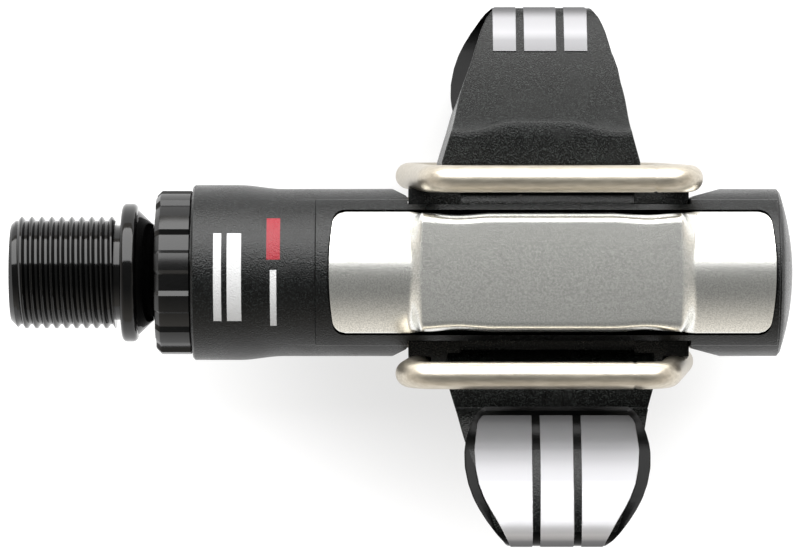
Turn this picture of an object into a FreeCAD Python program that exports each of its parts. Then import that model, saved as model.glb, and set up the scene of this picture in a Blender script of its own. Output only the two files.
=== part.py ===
import FreeCAD, Part
import math
import os
import Sketcher

# A two-sided clipless bicycle pedal. The origin is on the spindle's axis at the crank face of the
# flange. +X points away from the crank, +Y forwards and +Z out of the upper side.

doc = FreeCAD.newDocument("clipless_pedal")

# ---------------------------------------------------------------- driving dimensions (millimetres)

SIZES = {
    # spindle, from the thread's tip to the far end
    "thread_r": 7.14,
    "thread_tip_x": -14.1,
    "thread_start_x": -13.3,
    "thread_tip_r": 6.3,
    "flange_r": 8.8,
    "flange_end_x": 1.85,
    "cone_big_r": 7.9,
    "cone_end_x": 3.85,
    "neck_r": 6.0,
    "seat_start_x": 13.4,
    "seat_r": 5.0,
    "seat_end_x": 18.4,
    "clip_groove_r": 4.6,
    "clip_groove_end_x": 19.2,
    "seat_tail_x": 20.6,
    "shaft_start_x": 23.0,
    "shaft_r": 4.0,
    "shaft_end_x": 69.5,
    "tail_start_x": 71.0,
    "tail_r": 3.0,
    "tail_end_x": 80.4,
    "hex_depth": 9.0,
    "hex_half_flat": 4.0,
    "hex_half_corner": 4.619,
    "hex_half_side": 2.309,
    # lock ring and lip seal
    "ring_start_x": 4.4,
    "ring_end_x": 8.9,
    "ring_r": 10.4,
    "ring_chamfer": 0.6,
    "ring_bore_r": 7.6,
    "ring_skirt_r": 9.3,
    "valley_r": 9.9,
    "valley_half": 1.35,
    "lobe_count": 12,
    "seal_start_x": 5.2,
    "seal_end_x": 8.4,
    "seal_lip_r": 6.04,
    "seal_wall": 0.5,
    "seal_lip_x": 6.2,
    "seal_web_x": 6.8,
    "seal_lip_rise": 0.6,
    # ball bearing
    "race_outer_r": 9.0,
    "race_outer_land_r": 7.9,
    "race_inner_land_r": 6.1,
    "ball_orbit_r": 7.0,
    "ball_r": 1.25,
    "race_groove_r": 1.33,
    "ball_count": 11,
    "cage_inset": 0.75,
    "cage_half_thickness": 0.3,
    "cage_pocket_r": 1.38,
    "shield_thickness": 0.25,
    "shield_inset": 0.2,
    "clip_r": 6.2,
    # needle bearing
    "cup_r": 5.0,
    "cup_wall": 0.4,
    "cup_start_x": 72.0,
    "cup_end_x": 80.0,
    "needle_r": 0.74,
    "needle_orbit_r": 3.8,
    "needle_count": 15,
    "needle_inset": 0.4,
    # pedal body
    "body_start_x": 9.05,
    "collar_r": 11.15,
    "collar_chamfer": 0.35,
    "collar_end_x": 14.9,
    "barrel_start_x": 19.5,
    "barrel_r": 10.65,
    "corner_x": 83.1,
    "corner_end_x": 83.5,
    "corner_end_r": 10.3,
    "crown_x": 84.7,
    "crown_r": 5.5,
    "body_end_x": 85.2,
    "crown_flat_r": 1.0,
    "bore_mouth_r": 9.3,
    "bore_gap_r": 7.8,
    "bore_gap_end_x": 23.5,
    "bore_taper_end_x": 25.5,
    "bore_shaft_r": 5.05,
    "bore_cup_start_x": 71.8,
    "bore_cup_end_x": 80.2,
    "bore_tail_r": 3.6,
    "bore_end_x": 81.4,
    "bezel_r": 10.95,
    "bezel_start_x": 24.6,
    "bezel_end_x": 83.2,
    "bezel_half": 9.3,
    "recess_outer_start_x": 34.3,
    "recess_start_x": 36.3,
    "recess_end_x": 72.0,
    "recess_outer_end_x": 76.0,
    "recess_lip_y": 9.6,
    "recess_floor_y": 8.6,
    # wear plates
    "plate_start_x": 26.4,
    "plate_end_x": 82.4,
    "plate_half": 7.6,
    "plate_r": 11.2,
    "plate_under_r": 10.2,
    "plate_corner": 2.0,
    "pad_start_x": 36.6,
    "pad_end_x": 72.3,
    "pad_half": 7.45,
    "pad_low_z": 7.9,
    "pad_top_z": 11.8,
    "pad_round": 0.9,
    "plate_sheet": 1.0,
    # jaws: pivot, hub and arm
    "pivot_y": 8.6,
    "pin_r": 1.0,
    "pin_start_x": 32.8,
    "pin_end_x": 83.2,
    "pin_gap": 0.05,
    "hub_r": 2.4,
    "hub_gap": 0.4,
    "hub_start_x": 36.6,
    "hub_end_x": 71.4,
    "lug_width": 4.6,
    "lug_reach": 12.1,
    "lug_half": 2.5,
    "window_start_x": 49.7,
    "window_end_x": 58.3,
    "window_start_y": 4.0,
    "middle_x": 54.0,
    "root_shift": 0.5,
    "head_shift": 1.0,
    "root_start_y": 11.2,
    "root_end_y": 17.8,
    "root_half_start": 12.6,
    "root_half_end": 11.6,
    "root_low_z": -5.8,
    "root_high_z": 5.0,
    "root_foot_high_z": 3.6,
    "root_foot_low_z": -4.2,
    "root_bevel_y": 12.6,
    "root_taper_y": 14.0,
    "hub_touch_y": 9.8,
    "hub_touch_z": 2.06,
    "lip_start_y": 17.2,
    "lip_start_z": 6.4,
    "lip_thickness": 1.5,
    "tip_y": 31.4,
    "tip_z": 10.2,
    "tip_r": 2.85,
    "tip_turn": 60.0,
    "scoop_start_y": 18.3,
    "scoop_start_z": -4.9,
    "head_half_tip": 6.2,
    "head_plan_end_y": 34.75,
    "lip_half_start": 8.4,
    "lip_plan_start_y": 16.9,
    "lip_shoulder_half": 10.85,
    "lip_shoulder_y": 18.8,
    "lip_half_max": 11.65,
    "lip_max_y": 21.4,
    "lip_fall_half": 11.55,
    "lip_fall_y": 24.6,
    "lip_knee_half": 10.85,
    "lip_knee_y": 27.5,
    "lip_turn_half": 9.5,
    "lip_turn_y": 29.8,
    "lip_back_y": 27.6,
    # badge plates
    "badge_start_y": 18.3,
    "badge_half_start": 9.8,
    "badge_half_max": 10.35,
    "badge_max_y": 22.2,
    "badge_knee_half": 9.75,
    "badge_knee_y": 26.4,
    "badge_turn_y": 29.4,
    "badge_turn_half": 8.6,
    "badge_half_tip": 5.55,
    "badge_middle_half": 2.1,
    "badge_gap": 0.95,
    "badge_depth": 0.6,
    "badge_proud": 0.1,
    "badge_back_y": 28.4,
    # bails
    "wire_r": 1.7,
    "bail_half_x": 16.3,
    "bail_half_z": 14.0,
    "bail_y": 12.1,
    "bail_lean": 0.7,
    "bail_skew": 1.75,
    "bail_corner": 3.6,
    # jaw springs
    "coil_r": 1.72,
    "coil_wire_r": 0.5,
    "coil_pitch": 1.15,
    "coil_turns": 6.0,
    "spring_leg": 1.5,
    # how far a cutting shape runs past what it cuts
    "overshoot": 1.0,
}

sheet = doc.addObject("Spreadsheet::Sheet", "Sizes")
for row, (alias, number) in enumerate(SIZES.items(), start=1):
    sheet.set(f"A{row}", alias)
    sheet.set(f"B{row}", str(number))
    sheet.setAlias(f"B{row}", alias)
doc.recompute()


def size(alias):
    """The number that the sheet holds under an alias."""
    return float(sheet.get(alias))


# ---------------------------------------------------------------- helpers

def number_of(formula):
    """The value of a formula of aliases and plain numbers joined by + and -."""
    total = 0.0
    sign = 1.0
    for word in formula.split():
        if word in ("+", "-"):
            sign = 1.0 if word == "+" else -1.0
            continue
        total += sign * (size(word) if word in SIZES else float(word))
    return total


def expression_of(formula):
    """The same formula as an expression on the sheet's cells."""
    return " ".join("Sizes." + word if word in SIZES else word for word in formula.split())


def bind(thing, **formulas):
    """Binds properties of an object to formulas on the sheet."""
    for name, formula in formulas.items():
        thing.setExpression(name.replace("__", "."), expression_of(formula))
    return thing


def closed_outline(sketch, corners):
    """Draws a polygon whose every corner is tied to the sheet."""
    places = [FreeCAD.Vector(number_of(across), number_of(up), 0) for across, up in corners]
    for start, end in zip(places, places[1:] + places[:1]):
        sketch.addGeometry(Part.LineSegment(start, end), False)
    for corner, (across, up) in enumerate(corners):
        following = (corner + 1) % len(corners)
        sketch.addConstraint(Sketcher.Constraint("Coincident", corner, 2, following, 1))
        here = places[corner]
        for kind, formula, place in (("DistanceX", across, here.x), ("DistanceY", up, here.y)):
            if formula == "0":
                axis = -2 if kind == "DistanceX" else -1
                sketch.addConstraint(Sketcher.Constraint("PointOnObject", corner, 1, axis))
                continue
            index = sketch.addConstraint(Sketcher.Constraint(kind, -1, 1, corner, 1, place))
            sketch.renameConstraint(index, f"{kind}_{corner}")
            sketch.setExpression(f"Constraints.{kind}_{corner}", expression_of(formula))


def new_body(label):
    """A PartDesign body with a name of its own."""
    body = doc.addObject("PartDesign::Body", label)
    body.Label = label
    return body


def sketch_in(body, plane, corners, along_x=None):
    """A closed outline on one of the body's own planes, moved along X if asked."""
    sketch = body.newObject("Sketcher::SketchObject", f"{body.Label}_outline")
    support = [feature for feature in body.Origin.OriginFeatures if feature.Role == plane][0]
    sketch.AttachmentSupport = [(support, "")]
    sketch.MapMode = "FlatFace"
    if along_x:
        sketch.setExpression("AttachmentOffset.Base.z", expression_of(along_x))
    closed_outline(sketch, corners)
    return sketch


def turned(label, corners):
    """A body turned about the X axis from a profile of X stations and radii."""
    body = new_body(label)
    sketch = sketch_in(body, "XY_Plane", corners)
    solid = body.newObject("PartDesign::Revolution", f"{label}_turning")
    solid.Profile = sketch
    solid.ReferenceAxis = (sketch, ["H_Axis"])
    solid.Angle = 360.0
    sketch.Visibility = False
    doc.recompute()
    return body


def tube(label, start, end, outer, inner):
    """A plain turned tube."""
    return turned(label, [(start, inner), (start, outer), (end, outer), (end, inner)])


def rod(name, start, end, radius, y="0", z="0"):
    """A cylinder along X."""
    cylinder = doc.addObject("Part::Cylinder", name)
    cylinder.Placement.Rotation = FreeCAD.Rotation(FreeCAD.Vector(0, 1, 0), 90)
    bind(cylinder, Radius=radius, Height=f"{end} - ( {start} )")
    bind(cylinder, Placement__Base__x=start, Placement__Base__y=y, Placement__Base__z=z)
    return cylinder


def block(name, x, y, z):
    """A box between two formulas along each axis."""
    box = doc.addObject("Part::Box", name)
    for side, (low, high) in (("Length", x), ("Width", y), ("Height", z)):
        bind(box, **{side: f"{high} - ( {low} )"})
    bind(box, Placement__Base__x=x[0], Placement__Base__y=y[0], Placement__Base__z=z[0])
    return box


def joined(name, shapes):
    """Several objects fused into one."""
    fuse = doc.addObject("Part::MultiFuse", name)
    fuse.Shapes = shapes
    fuse.Refine = True
    return fuse


def cut(name, base, tool):
    """One object less another."""
    difference = doc.addObject("Part::Cut", name)
    difference.Base = base
    difference.Tool = tool
    return difference


def common(name, base, tool):
    """What two objects share."""
    shared = doc.addObject("Part::Common", name)
    shared.Base = base
    shared.Tool = tool
    return shared


def rounded_box_edges(box, direction, radius):
    """Rounds the edges of a box that run along one direction."""
    doc.recompute()
    fillet = doc.addObject("Part::Fillet", f"{box.Name}_rounded")
    fillet.Base = box
    chosen = []
    for number, edge in enumerate(box.Shape.Edges, start=1):
        along = (edge.Vertexes[1].Point - edge.Vertexes[0].Point).normalize()
        if abs(along.dot(direction)) > 0.99:
            chosen.append((number, size(radius), size(radius)))
    fillet.Edges = chosen
    return fillet


def group(label, members):
    """Separate solids kept in one node."""
    compound = doc.addObject("Part::Compound", label)
    compound.Label = label
    compound.Links = members
    return compound


def on_circle(number, count, radius):
    """The Y and Z of one of a number of places spaced round the X axis."""
    turn = 2 * math.pi * number / count
    return radius * math.cos(turn), radius * math.sin(turn)


def shaped(label, shape):
    """A piece whose shape comes from Part's own functions."""
    feature = doc.addObject("Part::Feature", label)
    feature.Label = label
    feature.Shape = shape
    return feature


NODES = []


def keep(thing):
    """Marks an object as one of the pedal's pieces."""
    NODES.append(thing)
    return thing


# ---------------------------------------------------------------- spindle

spindle = turned("spindle", [
    ("thread_tip_x", "0"),
    ("thread_tip_x", "thread_tip_r"),
    ("thread_start_x", "thread_r"),
    ("0", "thread_r"),
    ("0", "flange_r"),
    ("flange_end_x", "flange_r"),
    ("flange_end_x", "cone_big_r"),
    ("cone_end_x", "neck_r"),
    ("seat_start_x", "neck_r"),
    ("seat_start_x", "seat_r"),
    ("seat_end_x", "seat_r"),
    ("seat_end_x", "clip_groove_r"),
    ("clip_groove_end_x", "clip_groove_r"),
    ("clip_groove_end_x", "seat_r"),
    ("seat_tail_x", "seat_r"),
    ("shaft_start_x", "shaft_r"),
    ("shaft_end_x", "shaft_r"),
    ("tail_start_x", "tail_r"),
    ("tail_end_x", "tail_r"),
    ("tail_end_x", "0"),
])
solid_volume = spindle.Shape.Volume
hex_outline = sketch_in(spindle, "YZ_Plane", [
    ("hex_half_corner", "0"),
    ("hex_half_side", "hex_half_flat"),
    ("- hex_half_side", "hex_half_flat"),
    ("- hex_half_corner", "0"),
    ("- hex_half_side", "- hex_half_flat"),
    ("hex_half_side", "- hex_half_flat"),
], along_x="thread_tip_x")
hex_socket = spindle.newObject("PartDesign::Pocket", "hex_socket")
hex_socket.Profile = hex_outline
hex_socket.Reversed = True
bind(hex_socket, Length="hex_depth")
doc.recompute()
print("hex socket removes", round(solid_volume - spindle.Shape.Volume, 1), "mm3")
keep(spindle)

# The clip that holds the ball bearing's inner ring against the spindle's shoulder is open below.
clip_ring = cut(
    "clip_ring",
    rod("clip_outer", "seat_end_x", "clip_groove_end_x", "clip_r"),
    rod("clip_inner", "seat_end_x", "clip_groove_end_x", "clip_groove_r"),
)
clip_opening = block(
    "clip_opening", ("seat_end_x", "clip_groove_end_x"), ("- ball_r", "ball_r"), ("- barrel_r", "0")
)
keep(cut("spindle_circlip", clip_ring, clip_opening))

# ---------------------------------------------------------------- lock ring and lip seal

lock_ring = turned("lock_ring", [
    ("ring_start_x", "ring_bore_r"),
    ("ring_start_x", "ring_r - ring_chamfer"),
    ("ring_start_x + ring_chamfer", "ring_r"),
    ("ring_end_x", "ring_r"),
    ("ring_end_x", "ring_skirt_r"),
    ("seat_start_x", "ring_skirt_r"),
    ("seat_start_x", "ring_bore_r"),
])
ring_volume = lock_ring.Shape.Volume
valley_outline = sketch_in(lock_ring, "YZ_Plane", [
    ("valley_r", "- valley_half"),
    ("collar_r", "- valley_half"),
    ("collar_r", "valley_half"),
    ("valley_r", "valley_half"),
], along_x="ring_start_x")
valley = lock_ring.newObject("PartDesign::Pocket", "valley")
valley.Profile = valley_outline
valley.Reversed = True
bind(valley, Length="ring_end_x - ring_start_x")
doc.recompute()
valleys = lock_ring.newObject("PartDesign::PolarPattern", "valleys")
valleys.Originals = [valley]
valleys.Axis = (valley_outline, ["N_Axis"])
valleys.Angle = 360.0
bind(valleys, Occurrences="lobe_count")
lock_ring.Tip = valleys
doc.recompute()
print("lobe valleys remove", round(ring_volume - lock_ring.Shape.Volume, 2), "mm3")
keep(lock_ring)

keep(turned("lip_seal", [
    ("seal_start_x", "ring_bore_r"),
    ("seal_end_x", "ring_bore_r"),
    ("seal_end_x", "ring_bore_r - seal_wall"),
    ("seal_web_x", "ring_bore_r - seal_wall"),
    ("seal_lip_x", "seal_lip_r"),
    ("seal_start_x + seal_wall", "seal_lip_r"),
    ("seal_start_x", "seal_lip_r + seal_lip_rise"),
]))

# ---------------------------------------------------------------- ball bearing

RACE_MIDDLE_X = (size("seat_start_x") + size("seat_end_x")) / 2


def raceway(name):
    """The ring-shaped space that the balls run in."""
    torus = doc.addObject("Part::Torus", name)
    bind(torus, Radius1="ball_orbit_r", Radius2="race_groove_r")
    torus.Placement = FreeCAD.Placement(
        FreeCAD.Vector(RACE_MIDDLE_X, 0, 0), FreeCAD.Rotation(FreeCAD.Vector(0, 1, 0), 90)
    )
    return torus


outer_blank = tube("race_outer_blank", "seat_start_x", "seat_end_x", "race_outer_r", "race_outer_land_r")
inner_blank = tube("race_inner_blank", "seat_start_x", "seat_end_x", "race_inner_land_r", "seat_r")
keep(cut("bearing_outer_ring", outer_blank, raceway("outer_raceway")))
keep(cut("bearing_inner_ring", inner_blank, raceway("inner_raceway")))


def ball(name, number, radius):
    """A sphere in one of the bearing's ball places."""
    sphere = doc.addObject("Part::Sphere", name)
    bind(sphere, Radius=radius)
    y, z = on_circle(number, int(size("ball_count")), size("ball_orbit_r"))
    sphere.Placement.Base = FreeCAD.Vector(RACE_MIDDLE_X, y, z)
    return sphere


places = range(int(size("ball_count")))
keep(group("bearing_balls", [ball(f"ball_{number}", number, "ball_r") for number in places]))

cage_blank = turned("cage_blank", [
    ("seat_start_x + cage_inset", "ball_orbit_r - cage_half_thickness"),
    ("seat_start_x + cage_inset", "ball_orbit_r + cage_half_thickness"),
    ("seat_end_x - cage_inset", "ball_orbit_r + cage_half_thickness"),
    ("seat_end_x - cage_inset", "ball_orbit_r - cage_half_thickness"),
])


def pocket(number):
    """A round hole out through the cage at one of the ball places."""
    hole = doc.addObject("Part::Cylinder", f"pocket_{number}")
    bind(hole, Radius="cage_pocket_r", Height="race_outer_r - cage_pocket_r")
    y, z = on_circle(number, int(size("ball_count")), size("cage_pocket_r"))
    outwards = FreeCAD.Rotation(FreeCAD.Vector(0, 0, 1), FreeCAD.Vector(0, y, z))
    hole.Placement = FreeCAD.Placement(FreeCAD.Vector(RACE_MIDDLE_X, y, z), outwards)
    return hole


pockets = joined("ball_pockets", [pocket(number) for number in places])
keep(cut("bearing_cage", cage_blank, pockets))

keep(group("bearing_shields", [
    tube("inboard_shield", "seat_start_x + shield_inset", "seat_start_x + shield_inset + shield_thickness",
         "race_outer_land_r", "race_inner_land_r + pin_gap"),
    tube("outboard_shield", "seat_end_x - shield_inset - shield_thickness", "seat_end_x - shield_inset",
         "race_outer_land_r", "race_inner_land_r + pin_gap"),
]))

# ---------------------------------------------------------------- needle bearing

keep(tube("needle_cup", "cup_start_x", "cup_end_x", "cup_r", "cup_r - cup_wall"))


def needle(number):
    """One roller of the needle bearing."""
    roller = rod(f"needle_{number}", "cup_start_x + needle_inset", "cup_end_x - needle_inset", "needle_r")
    y, z = on_circle(number, int(size("needle_count")), size("needle_orbit_r"))
    roller.setExpression("Placement.Base.y", None)
    roller.setExpression("Placement.Base.z", None)
    roller.Placement.Base.y = y
    roller.Placement.Base.z = z
    return roller


keep(group("needle_rollers", [needle(number) for number in range(int(size("needle_count")))]))

# ---------------------------------------------------------------- wear plates

X_AXIS = FreeCAD.Vector(1, 0, 0)
Z_AXIS = FreeCAD.Vector(0, 0, 1)


def wear_plate(label, turn):
    """A pressed sheet: curved at both ends, with a raised flat pad that has folded sides."""
    sheet_box = block(f"{label}_box", ("plate_start_x", "plate_end_x"), ("- plate_half", "plate_half"),
                      ("0", "plate_r + overshoot"))
    curve = common(f"{label}_curve", rod(f"{label}_rod", "plate_start_x", "plate_end_x", "plate_r"),
                   rounded_box_edges(sheet_box, Z_AXIS, "plate_corner"))
    pad_box = block(f"{label}_pad", ("pad_start_x", "pad_end_x"), ("- pad_half", "pad_half"),
                    ("pad_low_z", "pad_top_z"))
    pad = rounded_box_edges(pad_box, Z_AXIS, "pad_round")
    under = rod(f"{label}_under", "plate_start_x - overshoot", "plate_end_x + overshoot", "plate_under_r")
    hollow = block(f"{label}_hollow", ("pad_start_x + plate_sheet", "pad_end_x - plate_sheet"),
                   ("- pad_half + plate_sheet", "pad_half - plate_sheet"),
                   ("0", "pad_top_z - plate_sheet"))
    plate = cut(label, joined(f"{label}_blank", [curve, pad]), joined(f"{label}_inside", [under, hollow]))
    plate.Placement.Rotation = FreeCAD.Rotation(X_AXIS, turn)
    return keep(plate)


upper_plate = wear_plate("wear_plate_upper", 0)
lower_plate = wear_plate("wear_plate_lower", 180)

# ---------------------------------------------------------------- pedal body

blank = turned("body_blank", [
    ("body_start_x", "0"),
    ("body_start_x", "collar_r - collar_chamfer"),
    ("body_start_x + collar_chamfer", "collar_r"),
    ("collar_end_x", "collar_r"),
    ("barrel_start_x", "barrel_r"),
    ("corner_x", "barrel_r"),
    ("corner_end_x", "corner_end_r"),
    ("crown_x", "crown_r"),
    ("body_end_x", "crown_flat_r"),
    ("body_end_x", "0"),
])
bezel = common(
    "bezel",
    rod("bezel_rod", "bezel_start_x", "bezel_end_x", "bezel_r"),
    block("bezel_box", ("bezel_start_x", "bezel_end_x"), ("- bezel_half", "bezel_half"),
          ("- bezel_r", "bezel_r")),
)
lands = block("plate_lands", ("pad_start_x + plate_sheet", "pad_end_x - plate_sheet"),
              ("- pad_half + plate_sheet", "pad_half - plate_sheet"),
              ("- pad_top_z + plate_sheet", "pad_top_z - plate_sheet"))
bore = turned("bore", [
    ("body_start_x - overshoot", "0"),
    ("body_start_x - overshoot", "bore_mouth_r"),
    ("seat_start_x", "bore_mouth_r"),
    ("seat_start_x", "race_outer_r"),
    ("seat_end_x", "race_outer_r"),
    ("seat_end_x", "bore_gap_r"),
    ("bore_gap_end_x", "bore_gap_r"),
    ("bore_taper_end_x", "bore_shaft_r"),
    ("bore_cup_start_x", "bore_shaft_r"),
    ("bore_cup_start_x", "cup_r"),
    ("bore_cup_end_x", "cup_r"),
    ("bore_cup_end_x", "bore_tail_r"),
    ("bore_end_x", "bore_tail_r"),
    ("bore_end_x", "0"),
])


def side_recess(name, turn):
    """The space along one side of the body that a jaw swings in."""
    sketch = doc.addObject("Sketcher::SketchObject", f"{name}_outline")
    closed_outline(sketch, [
        ("recess_outer_start_x", "barrel_r + overshoot"),
        ("recess_outer_start_x", "barrel_r"),
        ("recess_start_x", "recess_lip_y"),
        ("recess_start_x", "recess_floor_y"),
        ("recess_end_x", "recess_floor_y"),
        ("recess_end_x", "recess_lip_y"),
        ("recess_outer_end_x", "barrel_r"),
        ("recess_outer_end_x", "barrel_r + overshoot"),
    ])
    recess = doc.addObject("Part::Extrusion", name)
    recess.Base = sketch
    recess.DirMode = "Custom"
    recess.Dir = Z_AXIS
    recess.Solid = True
    recess.Symmetric = True
    bind(recess, LengthFwd="plate_r + plate_r")
    recess.Placement.Rotation = FreeCAD.Rotation(X_AXIS, turn)
    return recess


def for_both_sides(name, start, end, radius):
    """A pair of rods along the two jaw pivots."""
    return [
        rod(f"{name}_front", start, end, radius, y="pivot_y"),
        rod(f"{name}_rear", start, end, radius, y="- pivot_y"),
    ]


body_tools = joined("body_tools", [
    bore,
    side_recess("front_recess", 0),
    side_recess("rear_recess", 180),
    *for_both_sides("hub_slot", "recess_start_x", "recess_end_x", "hub_r + hub_gap"),
    *for_both_sides("pin_bore", "pin_start_x", "body_end_x + overshoot", "pin_r"),
])
body_raw = cut("body_raw", joined("body_solid", [blank, bezel, lands]), body_tools)
body_upper = cut("body_under_upper_plate", body_raw, upper_plate)
keep(cut("pedal_body", body_upper, lower_plate))

# ---------------------------------------------------------------- jaws

for side in ("front", "rear"):
    sign = "" if side == "front" else "- "
    keep(rod(f"{side}_pivot_pin", "pin_start_x", "pin_end_x", "pin_r", y=f"{sign}pivot_y"))


def vector(x, y, z):
    """A place or a direction."""
    return FreeCAD.Vector(x, y, z)


# An arm is drawn reaching along +Y with its shield facing +Z, and turned to its side at the end.
# Its shield is an arc that flows into a round tip, and its back is a shallow hollow arc.

TIP = (size("tip_y"), size("tip_z"))
TURN = math.radians(size("tip_turn"))

# Blanks and cutting shapes that go right through an arm reach this far to each side.
THROUGH = 30.0


def shield_radius():
    """Radius of the arc from the shield's lip that meets the tip's circle at its top."""
    run = size("tip_y") - size("lip_start_y")
    rise = size("tip_z") + size("tip_r") - size("lip_start_z")
    return (run * run + rise * rise) / (2 * rise)


def head_line(depth, start_y, back_y):
    """Edges over the head at a depth under its surface: along the shield, round the tip, down the back."""
    tip_radius = size("tip_r") - depth
    radius = shield_radius() - depth
    centre_z = TIP[1] + size("tip_r") - shield_radius()

    def on_shield(y):
        return vector(0, y, centre_z + math.sqrt(radius ** 2 - (y - TIP[0]) ** 2))

    def on_tip(angle):
        return vector(0, TIP[0] + tip_radius * math.cos(angle), TIP[1] + tip_radius * math.sin(angle))

    start = vector(0, TIP[0] + size("tip_r") * math.cos(TURN), TIP[1] - size("tip_r") * math.sin(TURN))
    foot = vector(0, size("scoop_start_y"), size("scoop_start_z"))
    chord = foot - start
    away = math.atan2(-chord.z, -chord.y) - (math.pi / 2 - TURN)
    hollow = chord.Length / (2 * math.sin(away)) + depth
    centre = on_tip(-TURN) + vector(0, math.cos(TURN), -math.sin(TURN)) * hollow

    def on_back(y):
        return vector(0, y, centre.z + math.sqrt(hollow ** 2 - (y - centre.y) ** 2))

    middle_y = (start_y + TIP[0]) / 2
    end = on_back(back_y)
    half_y = (on_tip(-TURN).y + back_y) / 2
    return [
        Part.Arc(on_shield(start_y), on_shield(middle_y), on_tip(math.pi / 2)).toShape(),
        Part.Arc(on_tip(math.pi / 2), on_tip((math.pi / 2 - TURN) / 2), on_tip(-TURN)).toShape(),
        Part.Arc(on_tip(-TURN), on_back(half_y), end).toShape(),
    ]


def slab(edges):
    """A closed outline in the YZ plane made into a solid along X, about the pedal's middle."""
    face = Part.Face(Part.Wire(edges))
    face.translate(vector(size("middle_x") - THROUGH, 0, 0))
    return face.extrude(vector(2 * THROUGH, 0, 0))


def chain(points):
    """Straight edges from point to point."""
    return [Part.LineSegment(a, b).toShape() for a, b in zip(points, points[1:])]


def band(start_y, back_y, top, under):
    """A solid layer that follows the head's surface between two depths."""
    outer = head_line(top, start_y, back_y)
    inner = head_line(under, start_y, back_y)
    first = chain([inner[0].Vertexes[0].Point, outer[0].Vertexes[0].Point])
    last = chain([outer[-1].Vertexes[-1].Point, inner[-1].Vertexes[-1].Point])
    return slab(first + outer + last + inner[::-1])


def plan(corners):
    """A prism along Z from an outline of X and Y corners."""
    points = [vector(x, y, -THROUGH) for x, y in corners]
    return Part.Face(Part.makePolygon(points + points[:1])).extrude(vector(0, 0, 2 * THROUGH))


def mirrored_plan(centre_x, halves):
    """A plan that is the same on both sides of a line at centre_x, from (half width, y) pairs."""
    right = [(centre_x + half, y) for half, y in halves]
    left = [(centre_x - half, y) for half, y in reversed(halves)]
    return plan(right + left)


def curved_side(start, middle, end, count=6):
    """Points of an arc through three (half width, y) places."""
    arc = Part.Arc(*[vector(half, y, 0) for half, y in (start, middle, end)])
    return [(point.x, point.y) for point in arc.discretize(count)]


def lip_plan(head_x):
    """Outline of the shield's lip: round shoulders, widest near its top, narrow at the tip."""
    shoulder = curved_side(
        (size("lip_half_start"), size("lip_plan_start_y")),
        (size("lip_shoulder_half"), size("lip_shoulder_y")),
        (size("lip_half_max"), size("lip_max_y")),
    )
    fall = curved_side(
        (size("lip_fall_half"), size("lip_fall_y")),
        (size("lip_knee_half"), size("lip_knee_y")),
        (size("lip_turn_half"), size("lip_turn_y")),
    )
    end = [(size("head_half_tip"), size("head_plan_end_y"))]
    return mirrored_plan(head_x, shoulder + fall + end)


def badge_strips(head_x):
    """Three strips: the badge's outline less two straight gaps."""
    whole = mirrored_plan(head_x, [
        (size("badge_half_start"), size("badge_start_y")),
        (size("badge_half_max"), size("badge_max_y")),
        (size("badge_knee_half"), size("badge_knee_y")),
        (size("badge_turn_half"), size("badge_turn_y")),
        (size("badge_half_tip"), size("head_plan_end_y")),
    ])
    strips = whole
    for way in (-1, 1):
        middle = head_x + way * (size("badge_middle_half") + size("badge_gap") / 2)
        low_corner = vector(middle - size("badge_gap") / 2, 0, -THROUGH)
        gap = Part.makeBox(size("badge_gap"), 2 * THROUGH, 2 * THROUGH, low_corner)
        strips = strips.cut(gap)
    return strips


def badge_shapes(head_x):
    """The three thin plates let into the shield, which fold over the tip onto the back."""
    layer = band(size("badge_start_y"), size("badge_back_y"), -size("badge_proud"), size("badge_depth"))
    return layer.common(badge_strips(head_x))


def bail_shape():
    """A closed wire hoop round the arm's root, skewed sideways and leaning outwards at its top."""
    corners = []
    for across, up in ((-1, 1), (1, 1), (1, -1), (-1, -1)):
        x = size("middle_x") + across * size("bail_half_x") + up * size("bail_skew")
        corners.append(vector(x, size("bail_y") + up * size("bail_lean"), up * size("bail_half_z")))
    edges = []
    ends = []
    for number, corner in enumerate(corners):
        back = (corners[number - 1] - corner).normalize()
        onward = (corners[(number + 1) % 4] - corner).normalize()
        half_angle = back.getAngle(onward) / 2
        reach = size("bail_corner") / math.tan(half_angle)
        inwards = (back + onward).normalize()
        drop = size("bail_corner") / math.sin(half_angle) - size("bail_corner")
        ends.append((corner + back * reach, corner + inwards * drop, corner + onward * reach))
    for number, (entry, crown, leave) in enumerate(ends):
        edges.append(Part.Arc(entry, crown, leave).toShape())
        edges.append(Part.LineSegment(leave, ends[(number + 1) % 4][0]).toShape())
    start = ends[0][2]
    circle = Part.Wire([Part.makeCircle(size("wire_r"), start, vector(1, 0, 0))])
    spine = Part.Wire(Part.__sortEdges__(edges[1:] + edges[:1]))
    return spine.makePipeShell([circle], True, False)


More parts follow.
